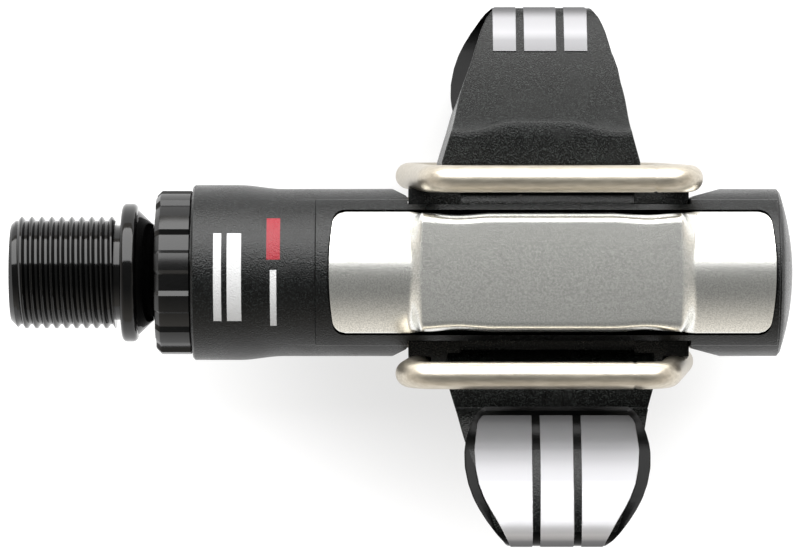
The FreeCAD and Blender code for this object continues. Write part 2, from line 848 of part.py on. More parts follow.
def arm_shape(root_x, head_x):
    """Hub on the pivot, chunky root through the bail, and a head with a wider shield."""
    hub_length = size("hub_end_x") - size("hub_start_x")
    hub_start = vector(size("hub_start_x"), size("pivot_y"), 0)
    hub = Part.makeCylinder(size("hub_r"), hub_length, hub_start, X_AXIS)
    surface = head_line(0.0, size("lip_start_y"), size("scoop_start_y"))
    around = [
        surface[-1].Vertexes[-1].Point,
        vector(0, size("root_end_y"), size("root_low_z")),
        vector(0, size("root_bevel_y"), size("root_low_z")),
        vector(0, size("root_start_y"), size("root_foot_low_z")),
        vector(0, size("hub_touch_y"), -size("hub_touch_z")),
        vector(0, size("pivot_y"), 0),
        vector(0, size("hub_touch_y"), size("hub_touch_z")),
        vector(0, size("root_start_y"), size("root_foot_high_z")),
        vector(0, size("root_bevel_y"), size("root_high_z")),
        vector(0, size("lip_start_y"), size("root_high_z")),
        surface[0].Vertexes[0].Point,
    ]
    side_view = slab(surface + chain(around))
    core_plan = plan([
        (root_x - size("root_half_start"), size("pivot_y") - size("overshoot")),
        (root_x - size("root_half_start"), size("root_taper_y")),
        (root_x - size("root_half_end"), size("root_end_y")),
        (head_x - size("head_half_tip"), size("head_plan_end_y")),
        (head_x + size("head_half_tip"), size("head_plan_end_y")),
        (root_x + size("root_half_end"), size("root_end_y")),
        (root_x + size("root_half_start"), size("root_taper_y")),
        (root_x + size("root_half_start"), size("pivot_y") - size("overshoot")),
    ])
    core = side_view.common(core_plan)
    lip_band = band(size("lip_start_y"), size("lip_back_y"), 0.0, size("lip_thickness"))
    lip = lip_band.common(lip_plan(head_x))
    arm = core.fuse([hub, lip])
    for lug_x in (size("hub_start_x"), size("hub_end_x") - size("lug_width")):
        lug = Part.makeBox(size("lug_width"), size("lug_reach") - size("pivot_y"), 2 * size("lug_half"),
                           vector(lug_x, size("pivot_y"), -size("lug_half")))
        arm = arm.fuse(lug)
    window = Part.makeBox(
        size("window_end_x") - size("window_start_x"),
        size("root_start_y") - size("window_start_y"),
        2 * size("root_start_y"),
        vector(size("window_start_x"), size("window_start_y"), -size("root_start_y")),
    )
    pin_hole = Part.makeCylinder(size("pin_r") + size("pin_gap"), hub_length + 2 * size("overshoot"),
                                 hub_start - X_AXIS * size("overshoot"), X_AXIS)
    arm = arm.cut([window, pin_hole, bail_shape()])
    arm = arm.cut(badge_shapes(head_x))
    return arm.removeSplitter()


def spring_shape():
    """A close coil round the pivot pin, with one leg on the body and one on the arm's root."""
    length = size("coil_turns") * size("coil_pitch")
    helix = Part.makeHelix(size("coil_pitch"), length, size("coil_r"))
    circle = Part.Wire([Part.makeCircle(size("coil_wire_r"), vector(size("coil_r"), 0, 0), vector(0, 1, 0))])
    coil = Part.Wire(helix).makePipeShell([circle], True, True)
    outward = Part.makeCylinder(size("coil_wire_r"), size("spring_leg"), vector(size("coil_r"), 0, 0),
                                vector(0, -1, 0))
    inward = Part.makeCylinder(size("coil_wire_r"), size("spring_leg"), vector(size("coil_r"), 0, length),
                               vector(0, 1, 0))
    spring = coil.fuse([outward, inward])
    spring.rotate(vector(0, 0, 0), vector(0, 1, 0), 90)
    start = (size("window_start_x") + size("window_end_x") - length) / 2
    spring.translate(vector(start, size("pivot_y"), 0))
    return spring


# Both jaws are one design. The front one is turned half round about Y, so its shield faces down, and
# the rear one half round about Z, so it reaches backwards with its shield up.
JAW_TURNS = {"front": vector(0, 1, 0), "rear": vector(0, 0, 1)}

for side, axis in JAW_TURNS.items():
    root_x = size("middle_x") + (size("root_shift") if side == "front" else -size("root_shift"))
    head_x = size("middle_x") + (size("head_shift") if side == "front" else -size("head_shift"))
    pieces = {
        f"{side}_arm": arm_shape(root_x, head_x),
        f"{side}_badges": badge_shapes(head_x),
        f"{side}_bail": bail_shape(),
        f"{side}_spring": spring_shape(),
    }
    turn = FreeCAD.Rotation(axis, 180)
    pivot = vector(size("middle_x"), 0, 0)
    for label, shape in pieces.items():
        piece = keep(shaped(label, shape))
        piece.Placement = FreeCAD.Placement(vector(0, 0, 0), turn, pivot).multiply(shape.Placement)

# ---------------------------------------------------------------- check and write

doc.recompute()
for thing in doc.Objects:
    if "Invalid" in thing.State or "Error" in thing.State:
        raise RuntimeError(f"{thing.Label} did not recompute: {thing.State}")
for node in NODES:
    if node.Shape.isNull() or not node.Shape.isValid():
        raise RuntimeError(f"{node.Label} has no sound shape")

os.makedirs("parts", exist_ok=True)
for node in NODES:
    node.Shape.exportStep(f"parts/{node.Label}.step")
    box = node.Shape.BoundBox
    print(f"{node.Label:20s} {len(node.Shape.Solids):3d} solids {node.Shape.Volume:10.1f} mm3 "
          f"X {box.XMin:6.1f} {box.XMax:6.1f}  Y {box.YMin:6.1f} {box.YMax:6.1f}  "
          f"Z {box.ZMin:6.1f} {box.ZMax:6.1f}")
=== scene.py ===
# %% [markdown]
# # A clipless pedal, seen from above
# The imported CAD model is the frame: it fixes every size and every moving body. This lesson gives it
# its looks. Visible pieces are rebuilt with rounded edges and pressed or moulded detail, and the inner
# ones keep their CAD shape and get a finish. All lengths below are in millimetres until a piece is
# finished, because a bicycle part is drawn in millimetres.

# %% Load the frame
import bpy
import bmesh
import math
from mathutils import Matrix, Vector


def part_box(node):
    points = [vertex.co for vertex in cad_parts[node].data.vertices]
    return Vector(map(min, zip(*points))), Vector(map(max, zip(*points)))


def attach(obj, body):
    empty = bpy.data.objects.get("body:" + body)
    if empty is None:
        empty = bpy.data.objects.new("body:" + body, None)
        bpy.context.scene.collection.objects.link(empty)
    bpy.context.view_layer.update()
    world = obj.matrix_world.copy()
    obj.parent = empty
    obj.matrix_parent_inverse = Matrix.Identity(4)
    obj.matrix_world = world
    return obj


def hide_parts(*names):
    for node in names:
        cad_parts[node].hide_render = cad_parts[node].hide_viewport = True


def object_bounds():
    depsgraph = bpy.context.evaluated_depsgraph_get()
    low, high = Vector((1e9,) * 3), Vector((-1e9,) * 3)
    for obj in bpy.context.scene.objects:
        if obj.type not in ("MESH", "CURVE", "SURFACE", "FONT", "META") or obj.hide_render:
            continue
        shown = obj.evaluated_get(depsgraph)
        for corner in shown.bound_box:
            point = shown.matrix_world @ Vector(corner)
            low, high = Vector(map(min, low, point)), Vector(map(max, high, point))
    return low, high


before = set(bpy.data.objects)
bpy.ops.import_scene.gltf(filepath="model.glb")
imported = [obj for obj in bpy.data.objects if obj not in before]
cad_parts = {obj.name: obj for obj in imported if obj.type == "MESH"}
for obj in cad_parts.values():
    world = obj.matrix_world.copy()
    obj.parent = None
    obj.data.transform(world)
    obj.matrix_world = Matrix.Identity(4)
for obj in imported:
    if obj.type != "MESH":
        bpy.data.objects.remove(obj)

MM = 0.001
cad_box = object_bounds()

# %% [markdown]
# ## Reading sizes from the frame
# A size that the CAD model already holds is read from it, so the looks follow if the design changes.
# `corners` gives a node's box in millimetres.

# %% Sizes from the frame
def corners(node):
    """A CAD node's lowest and highest corners in millimetres."""
    low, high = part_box(node)
    return Vector(low) / MM, Vector(high) / MM


spindle_low, spindle_high = corners("spindle")
ring_end = corners("lock_ring")[1].x
body_low, body_high = corners("pedal_body")
plate_low, plate_high = corners("wear_plate_upper")
print("body runs from", round(body_low.x, 2), "to", round(body_high.x, 2), "mm")

# %% [markdown]
# ## Camera
# The pedal is looked at from straight above, as in a catalogue. A long lens at about 0.6 m keeps the
# far and near bars of a bail almost in line, but not quite.

# %% Camera
VIEW_CENTRE = Vector((35.3, -0.7, 0.0)) * MM
VIEW_DISTANCE = 620 * MM
VIEW_WIDTH = 101.9 * MM
SENSOR_WIDTH = 36.0

camera_data = bpy.data.cameras.new("camera")
camera_data.sensor_width = SENSOR_WIDTH
camera_data.lens = SENSOR_WIDTH * VIEW_DISTANCE / VIEW_WIDTH
camera_data.clip_start = 0.01
camera = bpy.data.objects.new("camera", camera_data)
camera.location = VIEW_CENTRE + Vector((0, 0, VIEW_DISTANCE))
bpy.context.scene.collection.objects.link(camera)
bpy.context.scene.camera = camera
print("lens", round(camera_data.lens, 1), "mm")

# %% [markdown]
# ## Studio
# Polished and blasted metal shows the room, so the lights are placed for their reflections. One large
# soft box stands in front of the pedal and ends well short of overhead, which puts a crisp bright band
# on every round shape and leaves the flat tops grey. The rest of the room is a light tent: dim overhead
# and brighter towards the horizon, which lifts every side that leans away.

# %% The soft box
SUBJECT = Vector((0.045, 0, 0))


def soft_box(name, place, size, power):
    """A rectangular area light that faces the pedal's middle."""
    data = bpy.data.lights.new(name, "AREA")
    data.shape = "RECTANGLE"
    data.size, data.size_y = size
    data.energy = power
    light = bpy.data.objects.new(name, data)
    light.location = place
    aim = SUBJECT - Vector(place)
    light.rotation_euler = aim.to_track_quat("-Z", "Y").to_euler()
    bpy.context.scene.collection.objects.link(light)


soft_box("front_box", (0.045, 0.42, 0.36), (1.1, 0.64), 13.5)

# %% The light tent
TENT_TOP, TENT_SIDE = (0.21, 0.212, 0.208, 1), (0.95, 0.90, 0.83, 1)
# Height of a direction, from 0 at the horizon to 1 overhead, where each tone is reached.
TOP_FROM, SIDE_FROM = 0.88, 0.18

world = bpy.data.worlds.new("light_tent")
world.use_nodes = True
tent = world.node_tree
direction = tent.nodes.new("ShaderNodeTexCoord")
height = tent.nodes.new("ShaderNodeSeparateXYZ")
fall = tent.nodes.new("ShaderNodeMapRange")
fall.inputs["From Min"].default_value = TOP_FROM
fall.inputs["From Max"].default_value = SIDE_FROM
shade = tent.nodes.new("ShaderNodeMix")
shade.data_type = "RGBA"
shade.inputs[6].default_value = TENT_TOP
shade.inputs[7].default_value = TENT_SIDE
tent.links.new(direction.outputs["Generated"], height.inputs["Vector"])
tent.links.new(height.outputs["Z"], fall.inputs["Value"])
tent.links.new(fall.outputs["Result"], shade.inputs["Factor"])
tent.links.new(shade.outputs[2], tent.nodes["Background"].inputs["Color"])
bpy.context.scene.world = world
bpy.context.scene.view_settings.view_transform = "Standard"

# %% [markdown]
# ## Materials
# Each finish is a small node tree on object coordinates, so a pattern stays on its piece and has its
# real scale in metres. `finish` starts a tree, and the smaller helpers add to it.

# %% Material helpers
def finish(name, colour, roughness, metallic=0.0):
    """A new material with its main shader set."""
    material = bpy.data.materials.new(name)
    material.use_nodes = True
    shader = material.node_tree.nodes["Principled BSDF"]
    shader.inputs["Base Color"].default_value = (*colour, 1)
    shader.inputs["Roughness"].default_value = roughness
    shader.inputs["Metallic"].default_value = metallic
    return material


def node(material, kind, **settings):
    """Adds a node and sets its properties."""
    made = material.node_tree.nodes.new(kind)
    for key, value in settings.items():
        setattr(made, key, value)
    return made


def wire(material, output, socket):
    """Joins two sockets."""
    material.node_tree.links.new(output, socket)


def shader_of(material):
    """A material's main shader."""
    return material.node_tree.nodes["Principled BSDF"]


def position(material):
    """The object coordinates as X, Y and Z sockets."""
    place = node(material, "ShaderNodeTexCoord")
    split = node(material, "ShaderNodeSeparateXYZ")
    wire(material, place.outputs["Object"], split.inputs["Vector"])
    return split.outputs


def calculate(material, operation, *values):
    """One arithmetic node; each value is a socket or a number."""
    made = node(material, "ShaderNodeMath", operation=operation)
    for socket, value in zip(made.inputs, values):
        if isinstance(value, bpy.types.NodeSocket):
            wire(material, value, socket)
        else:
            socket.default_value = value
    return made.outputs[0]


def noise(material, feature_mm, detail=3.0, stretch=(1, 1, 1)):
    """Noise on object coordinates whose features are about so many millimetres wide."""
    place = node(material, "ShaderNodeTexCoord")
    mapping = node(material, "ShaderNodeMapping")
    mapping.inputs["Scale"].default_value = stretch
    texture = node(material, "ShaderNodeTexNoise")
    texture.inputs["Scale"].default_value = 1.0 / (feature_mm * MM)
    texture.inputs["Detail"].default_value = detail
    wire(material, place.outputs["Object"], mapping.inputs["Vector"])
    wire(material, mapping.outputs["Vector"], texture.inputs["Vector"])
    return texture.outputs["Fac"]


# %% [markdown]
# Noise gathers round 0.5, so `spread` takes a span of it and stretches that to the range wanted.
# `two_tones` then changes the tone, and `bump` the relief.

# %% Tone and relief
def spread(material, value, low, high, span=(0.3, 0.7), ends="SMOOTHSTEP"):
    """Maps the values in a span to a range, with soft or straight ends."""
    mapped = node(material, "ShaderNodeMapRange", interpolation_type=ends)
    limits = (*span, low, high)
    for name, limit in zip(("From Min", "From Max", "To Min", "To Max"), limits):
        mapped.inputs[name].default_value = limit
    wire(material, value, mapped.inputs["Value"])
    return mapped.outputs["Result"]


def two_tones(material, factor, first, second):
    """Mixes two colours by a factor."""
    mix = node(material, "ShaderNodeMix", data_type="RGBA")
    wire(material, factor, mix.inputs["Factor"])
    mix.inputs[6].default_value = (*first, 1)
    mix.inputs[7].default_value = (*second, 1)
    return mix.outputs[2]


def bump(material, height, depth_mm, strength=1.0):
    """A bump of so many millimetres on the main shader."""
    raised = node(material, "ShaderNodeBump")
    raised.inputs["Distance"].default_value = depth_mm * MM
    raised.inputs["Strength"].default_value = strength
    wire(material, height, raised.inputs["Height"])
    wire(material, raised.outputs["Normal"], shader_of(material).inputs["Normal"])


# %% [markdown]
# ### Black plastics and rubbers
# Glass-filled nylon out of a spark-eroded mould has a fine grain, about 0.2 mm wide, that shows as
# light specks on nearly pure black. The shields' lips are smoother and have no specks.

# %% Plastics
# The span of the noise over which the black turns into a light speck.
SPECKS = (0.47, 0.70)
CLOUD_MM = 6.0


def moulded_black(name, colour, roughness, grain_mm, depth_mm, gloss=0.40, contrast=2.2):
    """Moulded plastic or rubber; its specks are lighter than its colour by the contrast."""
    material = finish(name, colour, roughness)
    shader_of(material).inputs["Specular IOR Level"].default_value = gloss
    fine = noise(material, grain_mm, 2.0)
    cloud = noise(material, CLOUD_MM, 2.0)
    lighter = tuple(min(1.0, tone * contrast) for tone in colour)
    tone = two_tones(material, spread(material, fine, 0.0, 1.0, SPECKS), colour, lighter)
    wire(material, tone, shader_of(material).inputs["Base Color"])
    wire(material, spread(material, cloud, roughness - 0.05, roughness + 0.06),
         shader_of(material).inputs["Roughness"])
    bump(material, fine, depth_mm, 0.7)
    return material


body_plastic = moulded_black("grained_black_nylon", (0.0005, 0.0006, 0.0006), 0.27, 0.19, 0.11,
                             gloss=0.29, contrast=22.0)
arm_plastic = moulded_black("satin_black_nylon", (0.0006, 0.0007, 0.00065), 0.25, 0.19, 0.09,
                            gloss=0.21, contrast=28.0)
lip_plastic = moulded_black("smooth_black_nylon", (0.0008, 0.0009, 0.0009), 0.20, 0.19, 0.01,
                            gloss=0.09)
seal_rubber = moulded_black("nitrile_rubber", (0.006, 0.006, 0.006), 0.62, 0.5, 0.01)
cage_nylon = moulded_black("natural_nylon", (0.5, 0.46, 0.38), 0.5, 0.5, 0.01)

# %% [markdown]
# ### Metals
# The wear plates are blasted with beads: a mottled grey, rough at a small scale. The bails are matt
# nickel, a warmer tone with light drawing lines, and the badges are satin silver.

# %% Metals
BROAD_MM = 9.0


def metal(name, dark, light, roughness, mottle_mm, depth_mm, stretch=(1, 1, 1), uneven=0.02):
    """A metal whose tone and roughness vary over its surface."""
    material = finish(name, light, roughness, metallic=1.0)
    mottle = noise(material, mottle_mm, 4.0, stretch)
    wire(material, two_tones(material, spread(material, mottle, 0.0, 1.0), dark, light),
         shader_of(material).inputs["Base Color"])
    if uneven:
        broad = noise(material, BROAD_MM, 2.0)
        wire(material, spread(material, broad, roughness - uneven, roughness + uneven),
             shader_of(material).inputs["Roughness"])
    bump(material, mottle, depth_mm, 0.5)
    return material


wear_steel = metal("blasted_stainless", (0.66, 0.66, 0.63), (0.88, 0.88, 0.84), 0.27, 0.18, 0.0035,
                   uneven=0.0)
wire_steel = metal("matt_nickel_wire", (0.45, 0.41, 0.34), (0.56, 0.515, 0.435), 0.37, 0.4, 0.003,
                   stretch=(0.2, 1, 1))
badge_metal = metal("satin_silver_painted_sheen", (0.24, 0.24, 0.245), (0.27, 0.27, 0.275), 0.52, 0.3, 0.001,
                    uneven=0.0)
bearing_steel = metal("ground_bearing_steel", (0.62, 0.62, 0.62), (0.74, 0.74, 0.74), 0.12, 0.8, 0.0005)
spring_steel = metal("oil_tempered_wire", (0.035, 0.034, 0.033), (0.055, 0.054, 0.053), 0.35, 0.6, 0.002)
pin_steel = metal("ground_pin", (0.45, 0.45, 0.45), (0.58, 0.58, 0.58), 0.2, 0.8, 0.001)

# %% [markdown]
# ### The badges' painted sheen
# The badges' colour carries painted light and shade that follows the curve of the shield: painted
# shade beside the bail, a painted highlight before the tip, a painted dark reflection where the tip
# turns away, and grey behind it. It is a colour ramp over the angle round one point inside the arm,
# which a few arithmetic nodes work out from the object coordinates.

# %% Painted sheen round the tip
PAINTED_SHEEN_CENTRE = (27.0, 6.0)
# Tones of the painted light: a painted dark reflection at 24 to 35 degrees on the tip, a painted highlight
# at 50 to 69 degrees over the shield.
PAINTED_SHEEN_STOPS = (
    (-40, 0.155), (-5, 0.17), (6, 0.24), (16, 0.19), (24, 0.11), (29, 0.05), (35, 0.06), (43, 0.18),
    (50, 0.68), (58, 0.85), (69, 0.64), (80, 0.50), (100, 0.27), (124, 0.18), (147, 0.145), (158, 0.11),
    (175, 0.06),
)
# The silver is a little blue.
FADE_BLUE = 1.03


def painted_sheen_round(material, centre, stops):
    """Replaces the base colour by painted highlight and shade, a fade over the angle round a point of the
    arm's side view.

    The point is (reach, height) in millimetres with the shield's side counted upwards, and the stops
    are (degrees, tone): 180 points to the spindle, 90 to the shield's face and 0 past the tip.
    """
    place = position(material)
    reach = calculate(material, "SUBTRACT", calculate(material, "ABSOLUTE", place["Y"]), centre[0] * MM)
    inward = calculate(material, "MULTIPLY", place["Z"], calculate(material, "SIGN", place["Y"]))
    outward = calculate(material, "MULTIPLY", inward, -1.0)
    height = calculate(material, "SUBTRACT", outward, centre[1] * MM)
    angle = calculate(material, "ARCTAN2", height, reach)
    first, last = stops[0][0], stops[-1][0]
    along = spread(material, angle, 0.0, 1.0, (math.radians(first), math.radians(last)), "LINEAR")
    fade = node(material, "ShaderNodeValToRGB")
    wire(material, along, fade.inputs["Fac"])
    elements = fade.color_ramp.elements
    while len(elements) < len(stops):
        elements.new(0.5)
    for element, (degrees, _) in zip(elements, stops):
        element.position = (degrees - first) / (last - first)
    for element, (_, tone) in zip(elements, stops):
        element.color = (tone, tone, tone * FADE_BLUE, 1)
    wire(material, fade.outputs["Color"], shader_of(material).inputs["Base Color"])


# The badges' base colour gets the painted highlight and painted shade.
painted_sheen_round(badge_metal, PAINTED_SHEEN_CENTRE, PAINTED_SHEEN_STOPS)

# %% [markdown]
# ### Blackened metal
# The spindle is ground and blackened, so its highlights are sharp but not strong. The lock ring is
# anodised black and a little rougher. Both have faint streaks along the way they were turned.

# %% Blackened metal
BLACK_GLOSS = 0.37


def blackened(name, tone, roughness):
    """Steel or aluminium under a black finish with faint turning streaks."""
    material = finish(name, (tone, tone, tone), roughness)
    streak = noise(material, 0.8, 3.0, (1, 3, 3))
    lighter = tone * 2.5
    wire(material, two_tones(material, spread(material, streak, 0.0, 1.0), (tone, tone, tone),
                             (lighter, lighter, lighter * 1.05)),
         shader_of(material).inputs["Base Color"])
    shader_of(material).inputs["Specular IOR Level"].default_value = BLACK_GLOSS
    bump(material, streak, 0.003, 0.3)
    return material


spindle_black = blackened("black_oxide_spindle", 0.0004, 0.10)
ring_black = blackened("black_anodised_ring", 0.0008, 0.22)
print("made", len(bpy.data.materials), "materials")

# %% [markdown]
# ## Finishing a piece
# Every new piece ends the same way: it is scaled from millimetres to metres, its edges may get a
# small bevel, it rides on its body, and it stands for its CAD node if there is one.

# %% Finish a piece
def as_object(bm, name):
    """Turns a bmesh into an object in the scene."""
    mesh = bpy.data.meshes.new(name)
    bm.to_mesh(mesh)
    bm.free()
    made = bpy.data.objects.new(name, mesh)
    bpy.context.scene.collection.objects.link(made)
    return made


def put(bm, name, body, material, stands_for, bevel=0.0, segments=3, angle=32):
    """Turns a bmesh in millimetres into a finished piece on a body."""
    bmesh.ops.scale(bm, vec=(MM, MM, MM), verts=bm.verts)
    piece = as_object(bm, name)
    mesh = piece.data
    mesh.materials.append(material)
    for face in mesh.polygons:
        face.use_smooth = True
    mesh.set_sharp_from_angle(angle=math.radians(angle))
    if bevel:
        rounding = piece.modifiers.new("rounded_edges", "BEVEL")
        rounding.width = bevel * MM
        rounding.segments = segments
        rounding.limit_method = "ANGLE"
        rounding.angle_limit = math.radians(angle)
        rounding.harden_normals = True
    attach(piece, body)
    if stands_for:
        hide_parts(stands_for)
    print(f"{name}: {len(mesh.polygons)} faces")
    return piece


# %% [markdown]
# `turned` is the lathe: it spins a profile round the pedal's axis. `add_to` lays one mesh beside
# another in a single piece, and `arc` gives the points of a round.

# %% Shape helpers
def turned(profile, steps=128):
    """A bmesh turned round the X axis from (x, radius) points."""
    bm = bmesh.new()
    points = [bm.verts.new((x, radius, 0)) for x, radius in profile]
    for first, second in zip(points, points[1:]):
        bm.edges.new((first, second))
    bmesh.ops.spin(bm, geom=bm.verts[:] + bm.edges[:], cent=(0, 0, 0), axis=(1, 0, 0),
                   angle=2 * math.pi, steps=steps, use_merge=True, use_duplicate=False)
    bmesh.ops.remove_doubles(bm, verts=bm.verts, dist=1e-4)
    bmesh.ops.recalc_face_normals(bm, faces=bm.faces)
    return bm


def add_to(bm, other):
    """Adds another bmesh's faces to this one."""
    scratch = bpy.data.meshes.new("scratch")
    other.to_mesh(scratch)
    other.free()
    bm.from_mesh(scratch)
    bpy.data.meshes.remove(scratch)


def arc(centre, radius, start, end, count):
    """Points of an arc, angles in degrees."""
    turns = [math.radians(start + (end - start) * number / count) for number in range(count + 1)]
    return [(centre[0] + radius * math.cos(turn), centre[1] + radius * math.sin(turn)) for turn in turns]


# %% [markdown]
# ## Spindle
# The spindle is turned from bar, and its thread is rolled, 20 to the inch. A thread is one tooth's
# profile wound round the axis while it moves along by one pitch a turn, which is a spin with a shift
# per step. Both ends are then cut square and closed.

# %% The rolled thread
PITCH = 25.4 / 20
CREST = 7.14
ROOT = CREST - 0.52
THREAD_END = -0.85
TURN_STEPS = 56
# Radius at the very end of the thread's 45-degree chamfer.
THREAD_NOSE = CREST - 0.95


def rolled_thread(start, end):
    """A closed threaded rod from start to end along X, with a chamfered first thread."""
    bm = bmesh.new()
    tooth = [(0, ROOT), (0.12, ROOT), (0.38, CREST - 0.05), (0.43, CREST), (0.57, CREST),
             (0.62, CREST - 0.05), (0.88, ROOT), (1.0, ROOT)]
    begin = start - 1.5 * PITCH
    points = [bm.verts.new((begin + share * PITCH, radius, 0)) for share, radius in tooth]
    for first, second in zip(points, points[1:]):
        bm.edges.new((first, second))
    turns = math.ceil((end - start) / PITCH) + 3
    bmesh.ops.spin(bm, geom=bm.verts[:] + bm.edges[:], cent=(0, 0, 0), axis=(1, 0, 0),
                   dvec=(PITCH / TURN_STEPS, 0, 0), angle=2 * math.pi * turns,
                   steps=TURN_STEPS * turns, use_merge=False, use_duplicate=False)
    bmesh.ops.remove_doubles(bm, verts=bm.verts, dist=1e-3)
    for place, way in ((start, -1), (end, 1)):
        bmesh.ops.bisect_plane(bm, geom=bm.verts[:] + bm.edges[:] + bm.faces[:],
                               plane_co=(place, 0, 0), plane_no=(way, 0, 0), clear_outer=True)
        rim = [edge for edge in bm.edges if edge.is_boundary
               and all(abs(vert.co.x - place) < 1e-4 for vert in edge.verts)]
        bmesh.ops.edgeloop_fill(bm, edges=rim)
    for vert in bm.verts:
        radius = math.hypot(vert.co.y, vert.co.z)
        limit = THREAD_NOSE + vert.co.x - start
        if radius > limit:
            vert.co.yz = vert.co.yz * (limit / radius)
    bmesh.ops.recalc_face_normals(bm, faces=bm.faces)
    return bm


# %% [markdown]
# The socket for the hexagon key is cut out of the rod's end. The flange, the cone behind it, the neck
# and the bearing seats are one turned profile, which overlaps the thread a little.

# %% Cutting one mesh with another
def carve(bm, cutter, operation="DIFFERENCE"):
    """Cuts one bmesh with another and gives back the result."""
    carved, tool = as_object(bm, "carved"), as_object(cutter, "cutter")
    cut = carved.modifiers.new("cut", "BOOLEAN")
    cut.operation = operation
    cut.object = tool
    cut.solver = "EXACT"
    graph = bpy.context.evaluated_depsgraph_get()
    result = bmesh.new()
    result.from_object(carved, graph)
    for thing in (carved, tool):
        mesh = thing.data
        bpy.data.objects.remove(thing)
        bpy.data.meshes.remove(mesh)
    bmesh.ops.remove_doubles(result, verts=result.verts, dist=1e-4)
    return result


def bar_along_x(start, end, radius, sides, y=0.0):
    """A prism or cylinder along X."""
    bm = bmesh.new()
    bmesh.ops.create_cone(bm, cap_ends=True, segments=sides, radius1=radius, radius2=radius,
                          depth=end - start)
    bmesh.ops.rotate(bm, verts=bm.verts, cent=(0, 0, 0), matrix=Matrix.Rotation(math.pi / 2, 3, "Y"))
    bmesh.ops.translate(bm, verts=bm.verts, vec=((start + end) / 2, y, 0))
    return bm


# %% The spindle
HEX_CORNER = 4.0 / math.cos(math.pi / 6)
HEX_DEPTH = 9
thread = rolled_thread(spindle_low.x, THREAD_END)
thread = carve(thread, bar_along_x(spindle_low.x - 2, spindle_low.x + HEX_DEPTH, HEX_CORNER, 6))
shank = turned([
    (THREAD_END - 0.4, 0), (THREAD_END - 0.4, 6.05), (-0.05, 6.05), (0.0, 6.15), (0.0, 8.1),
    *arc((0.6, 8.2), 0.6, 180, 90, 6), *arc((1.3, 8.1), 0.7, 90, 0, 6),
    (2.05, 7.9), (2.25, 7.75), (3.7, 6.35), (4.0, 6.1), (4.4, 6.0), (13.4, 6.0), (13.4, 5.0), (18.4, 5.0),
    (18.4, 4.6), (19.2, 4.6), (19.2, 5.0), (20.6, 5.0), (23.0, 4.0), (69.5, 4.0), (71.0, 3.0),
    (spindle_high.x - 0.4, 3.0), (spindle_high.x, 2.6), (spindle_high.x, 0),
])
add_to(shank, thread)
put(shank, "spindle_turned", "spindle_set", spindle_black, "spindle", angle=25)

# %% [markdown]
# ## Lock ring
# The ring that closes the body's inboard end has twelve lobes for a pin spanner. It is turned as a
# plain ring with many steps, and then the valleys are pressed in by moving the outer points inwards.

# %% Lock ring
LOBES = 12
VALLEY_DEPTH = 0.5
VALLEY_TURN = 0.13
LOBED_FROM = 9.6


def valley_share(turn):
    """0 on a lobe's land, 1 in a valley, with short slopes between."""
    phase = (turn * LOBES / (2 * math.pi)) % 1.0
    away = abs(phase - 0.5) * 2
    return min(1.0, max(0.0, (0.56 - away) / 0.12))


lock_ring = turned([
    (4.4, 7.6), (4.4, 9.7), (4.5, 9.85), (5.0, 10.35), (5.15, 10.4), (6.2, 10.4), (7.4, 10.4),
    (8.75, 10.4), (8.9, 10.25), (8.9, 9.3), (ring_end, 9.3), (ring_end, 7.6), (4.4, 7.6),
], steps=LOBES * 20)
for vert in lock_ring.verts:
    radius = math.hypot(vert.co.y, vert.co.z)
    if radius > LOBED_FROM:
        depth = VALLEY_DEPTH * valley_share(math.atan2(vert.co.z, vert.co.y) + VALLEY_TURN)
        vert.co.yz = vert.co.yz * ((radius - depth) / radius)
put(lock_ring, "lock_ring_lobed", "pedal", ring_black, "lock_ring", angle=22)

# %% [markdown]
# ## Body
# The body is one moulding. It starts as a turned blank with a collar, then the bezel round each wear
# plate is raised, the bore and the side recesses for the jaws are cut away, and the plates' seats are
# sunk. Cuts made before the bevel leave crisp lines, and the bevel then rounds all of them alike.

# %% Body blank
COLLAR = 11.15
BARREL = 10.65
NECK_START, NECK_END = 14.9, 20.5
BEZEL = 10.95
BEZEL_HALF = 9.3
BEZEL_START = 24.6
CROWN_RISE = 1.7
CROWN_RADIUS = 10.25
CORNER_X = body_high.x - CROWN_RISE
BLANK_STEPS = 180


def eased(value):
    """0 to 1 with soft ends."""
    value = min(1.0, max(0.0, value))
    return value * value * (3 - 2 * value)


def body_blank():
    """The outside of the body, turned with a smooth neck after the collar."""
    neck = [(NECK_START + (NECK_END - NECK_START) * number / 8,
             COLLAR + (BARREL - COLLAR) * eased(number / 8)) for number in range(9)]
    crown = []
    for number in range(9):
        radius = CROWN_RADIUS * (1 - number / 8)
        crown.append((CORNER_X + CROWN_RISE * (1 - (radius / CROWN_RADIUS) ** 2), radius))
    return turned([
        (body_low.x, 0), (body_low.x, 10.9), (9.3, COLLAR), (11.5, COLLAR), *neck,
        (BEZEL_START, BARREL), (34.0, BARREL), (54.0, BARREL), (74.0, BARREL),
        (CORNER_X - 0.35, BARREL), *crown,
    ], steps=BLANK_STEPS)


body = body_blank()
print("body blank has", len(body.faces), "faces")

# %% [markdown]
# The tools for the cuts are a box, a prism and two plans: the plate's, which its seat follows, and
# that of the space a jaw swings in.

# %% Cutters
PLATE_HALF = 7.62
PLATE_CORNER = 1.3
PLATE_BOW = 0.65
PIVOT_Y = 8.6
RECESS_START, RECESS_END = 36.3, 72.0


def slab(x_range, y_range, z_range):
    """A box between limits."""
    bm = bmesh.new()
    bmesh.ops.create_cube(bm, size=1.0)
    limits = (x_range, y_range, z_range)
    bmesh.ops.scale(bm, vec=[high - low for low, high in limits], verts=bm.verts)
    bmesh.ops.translate(bm, vec=[(high + low) / 2 for low, high in limits], verts=bm.verts)
    return bm


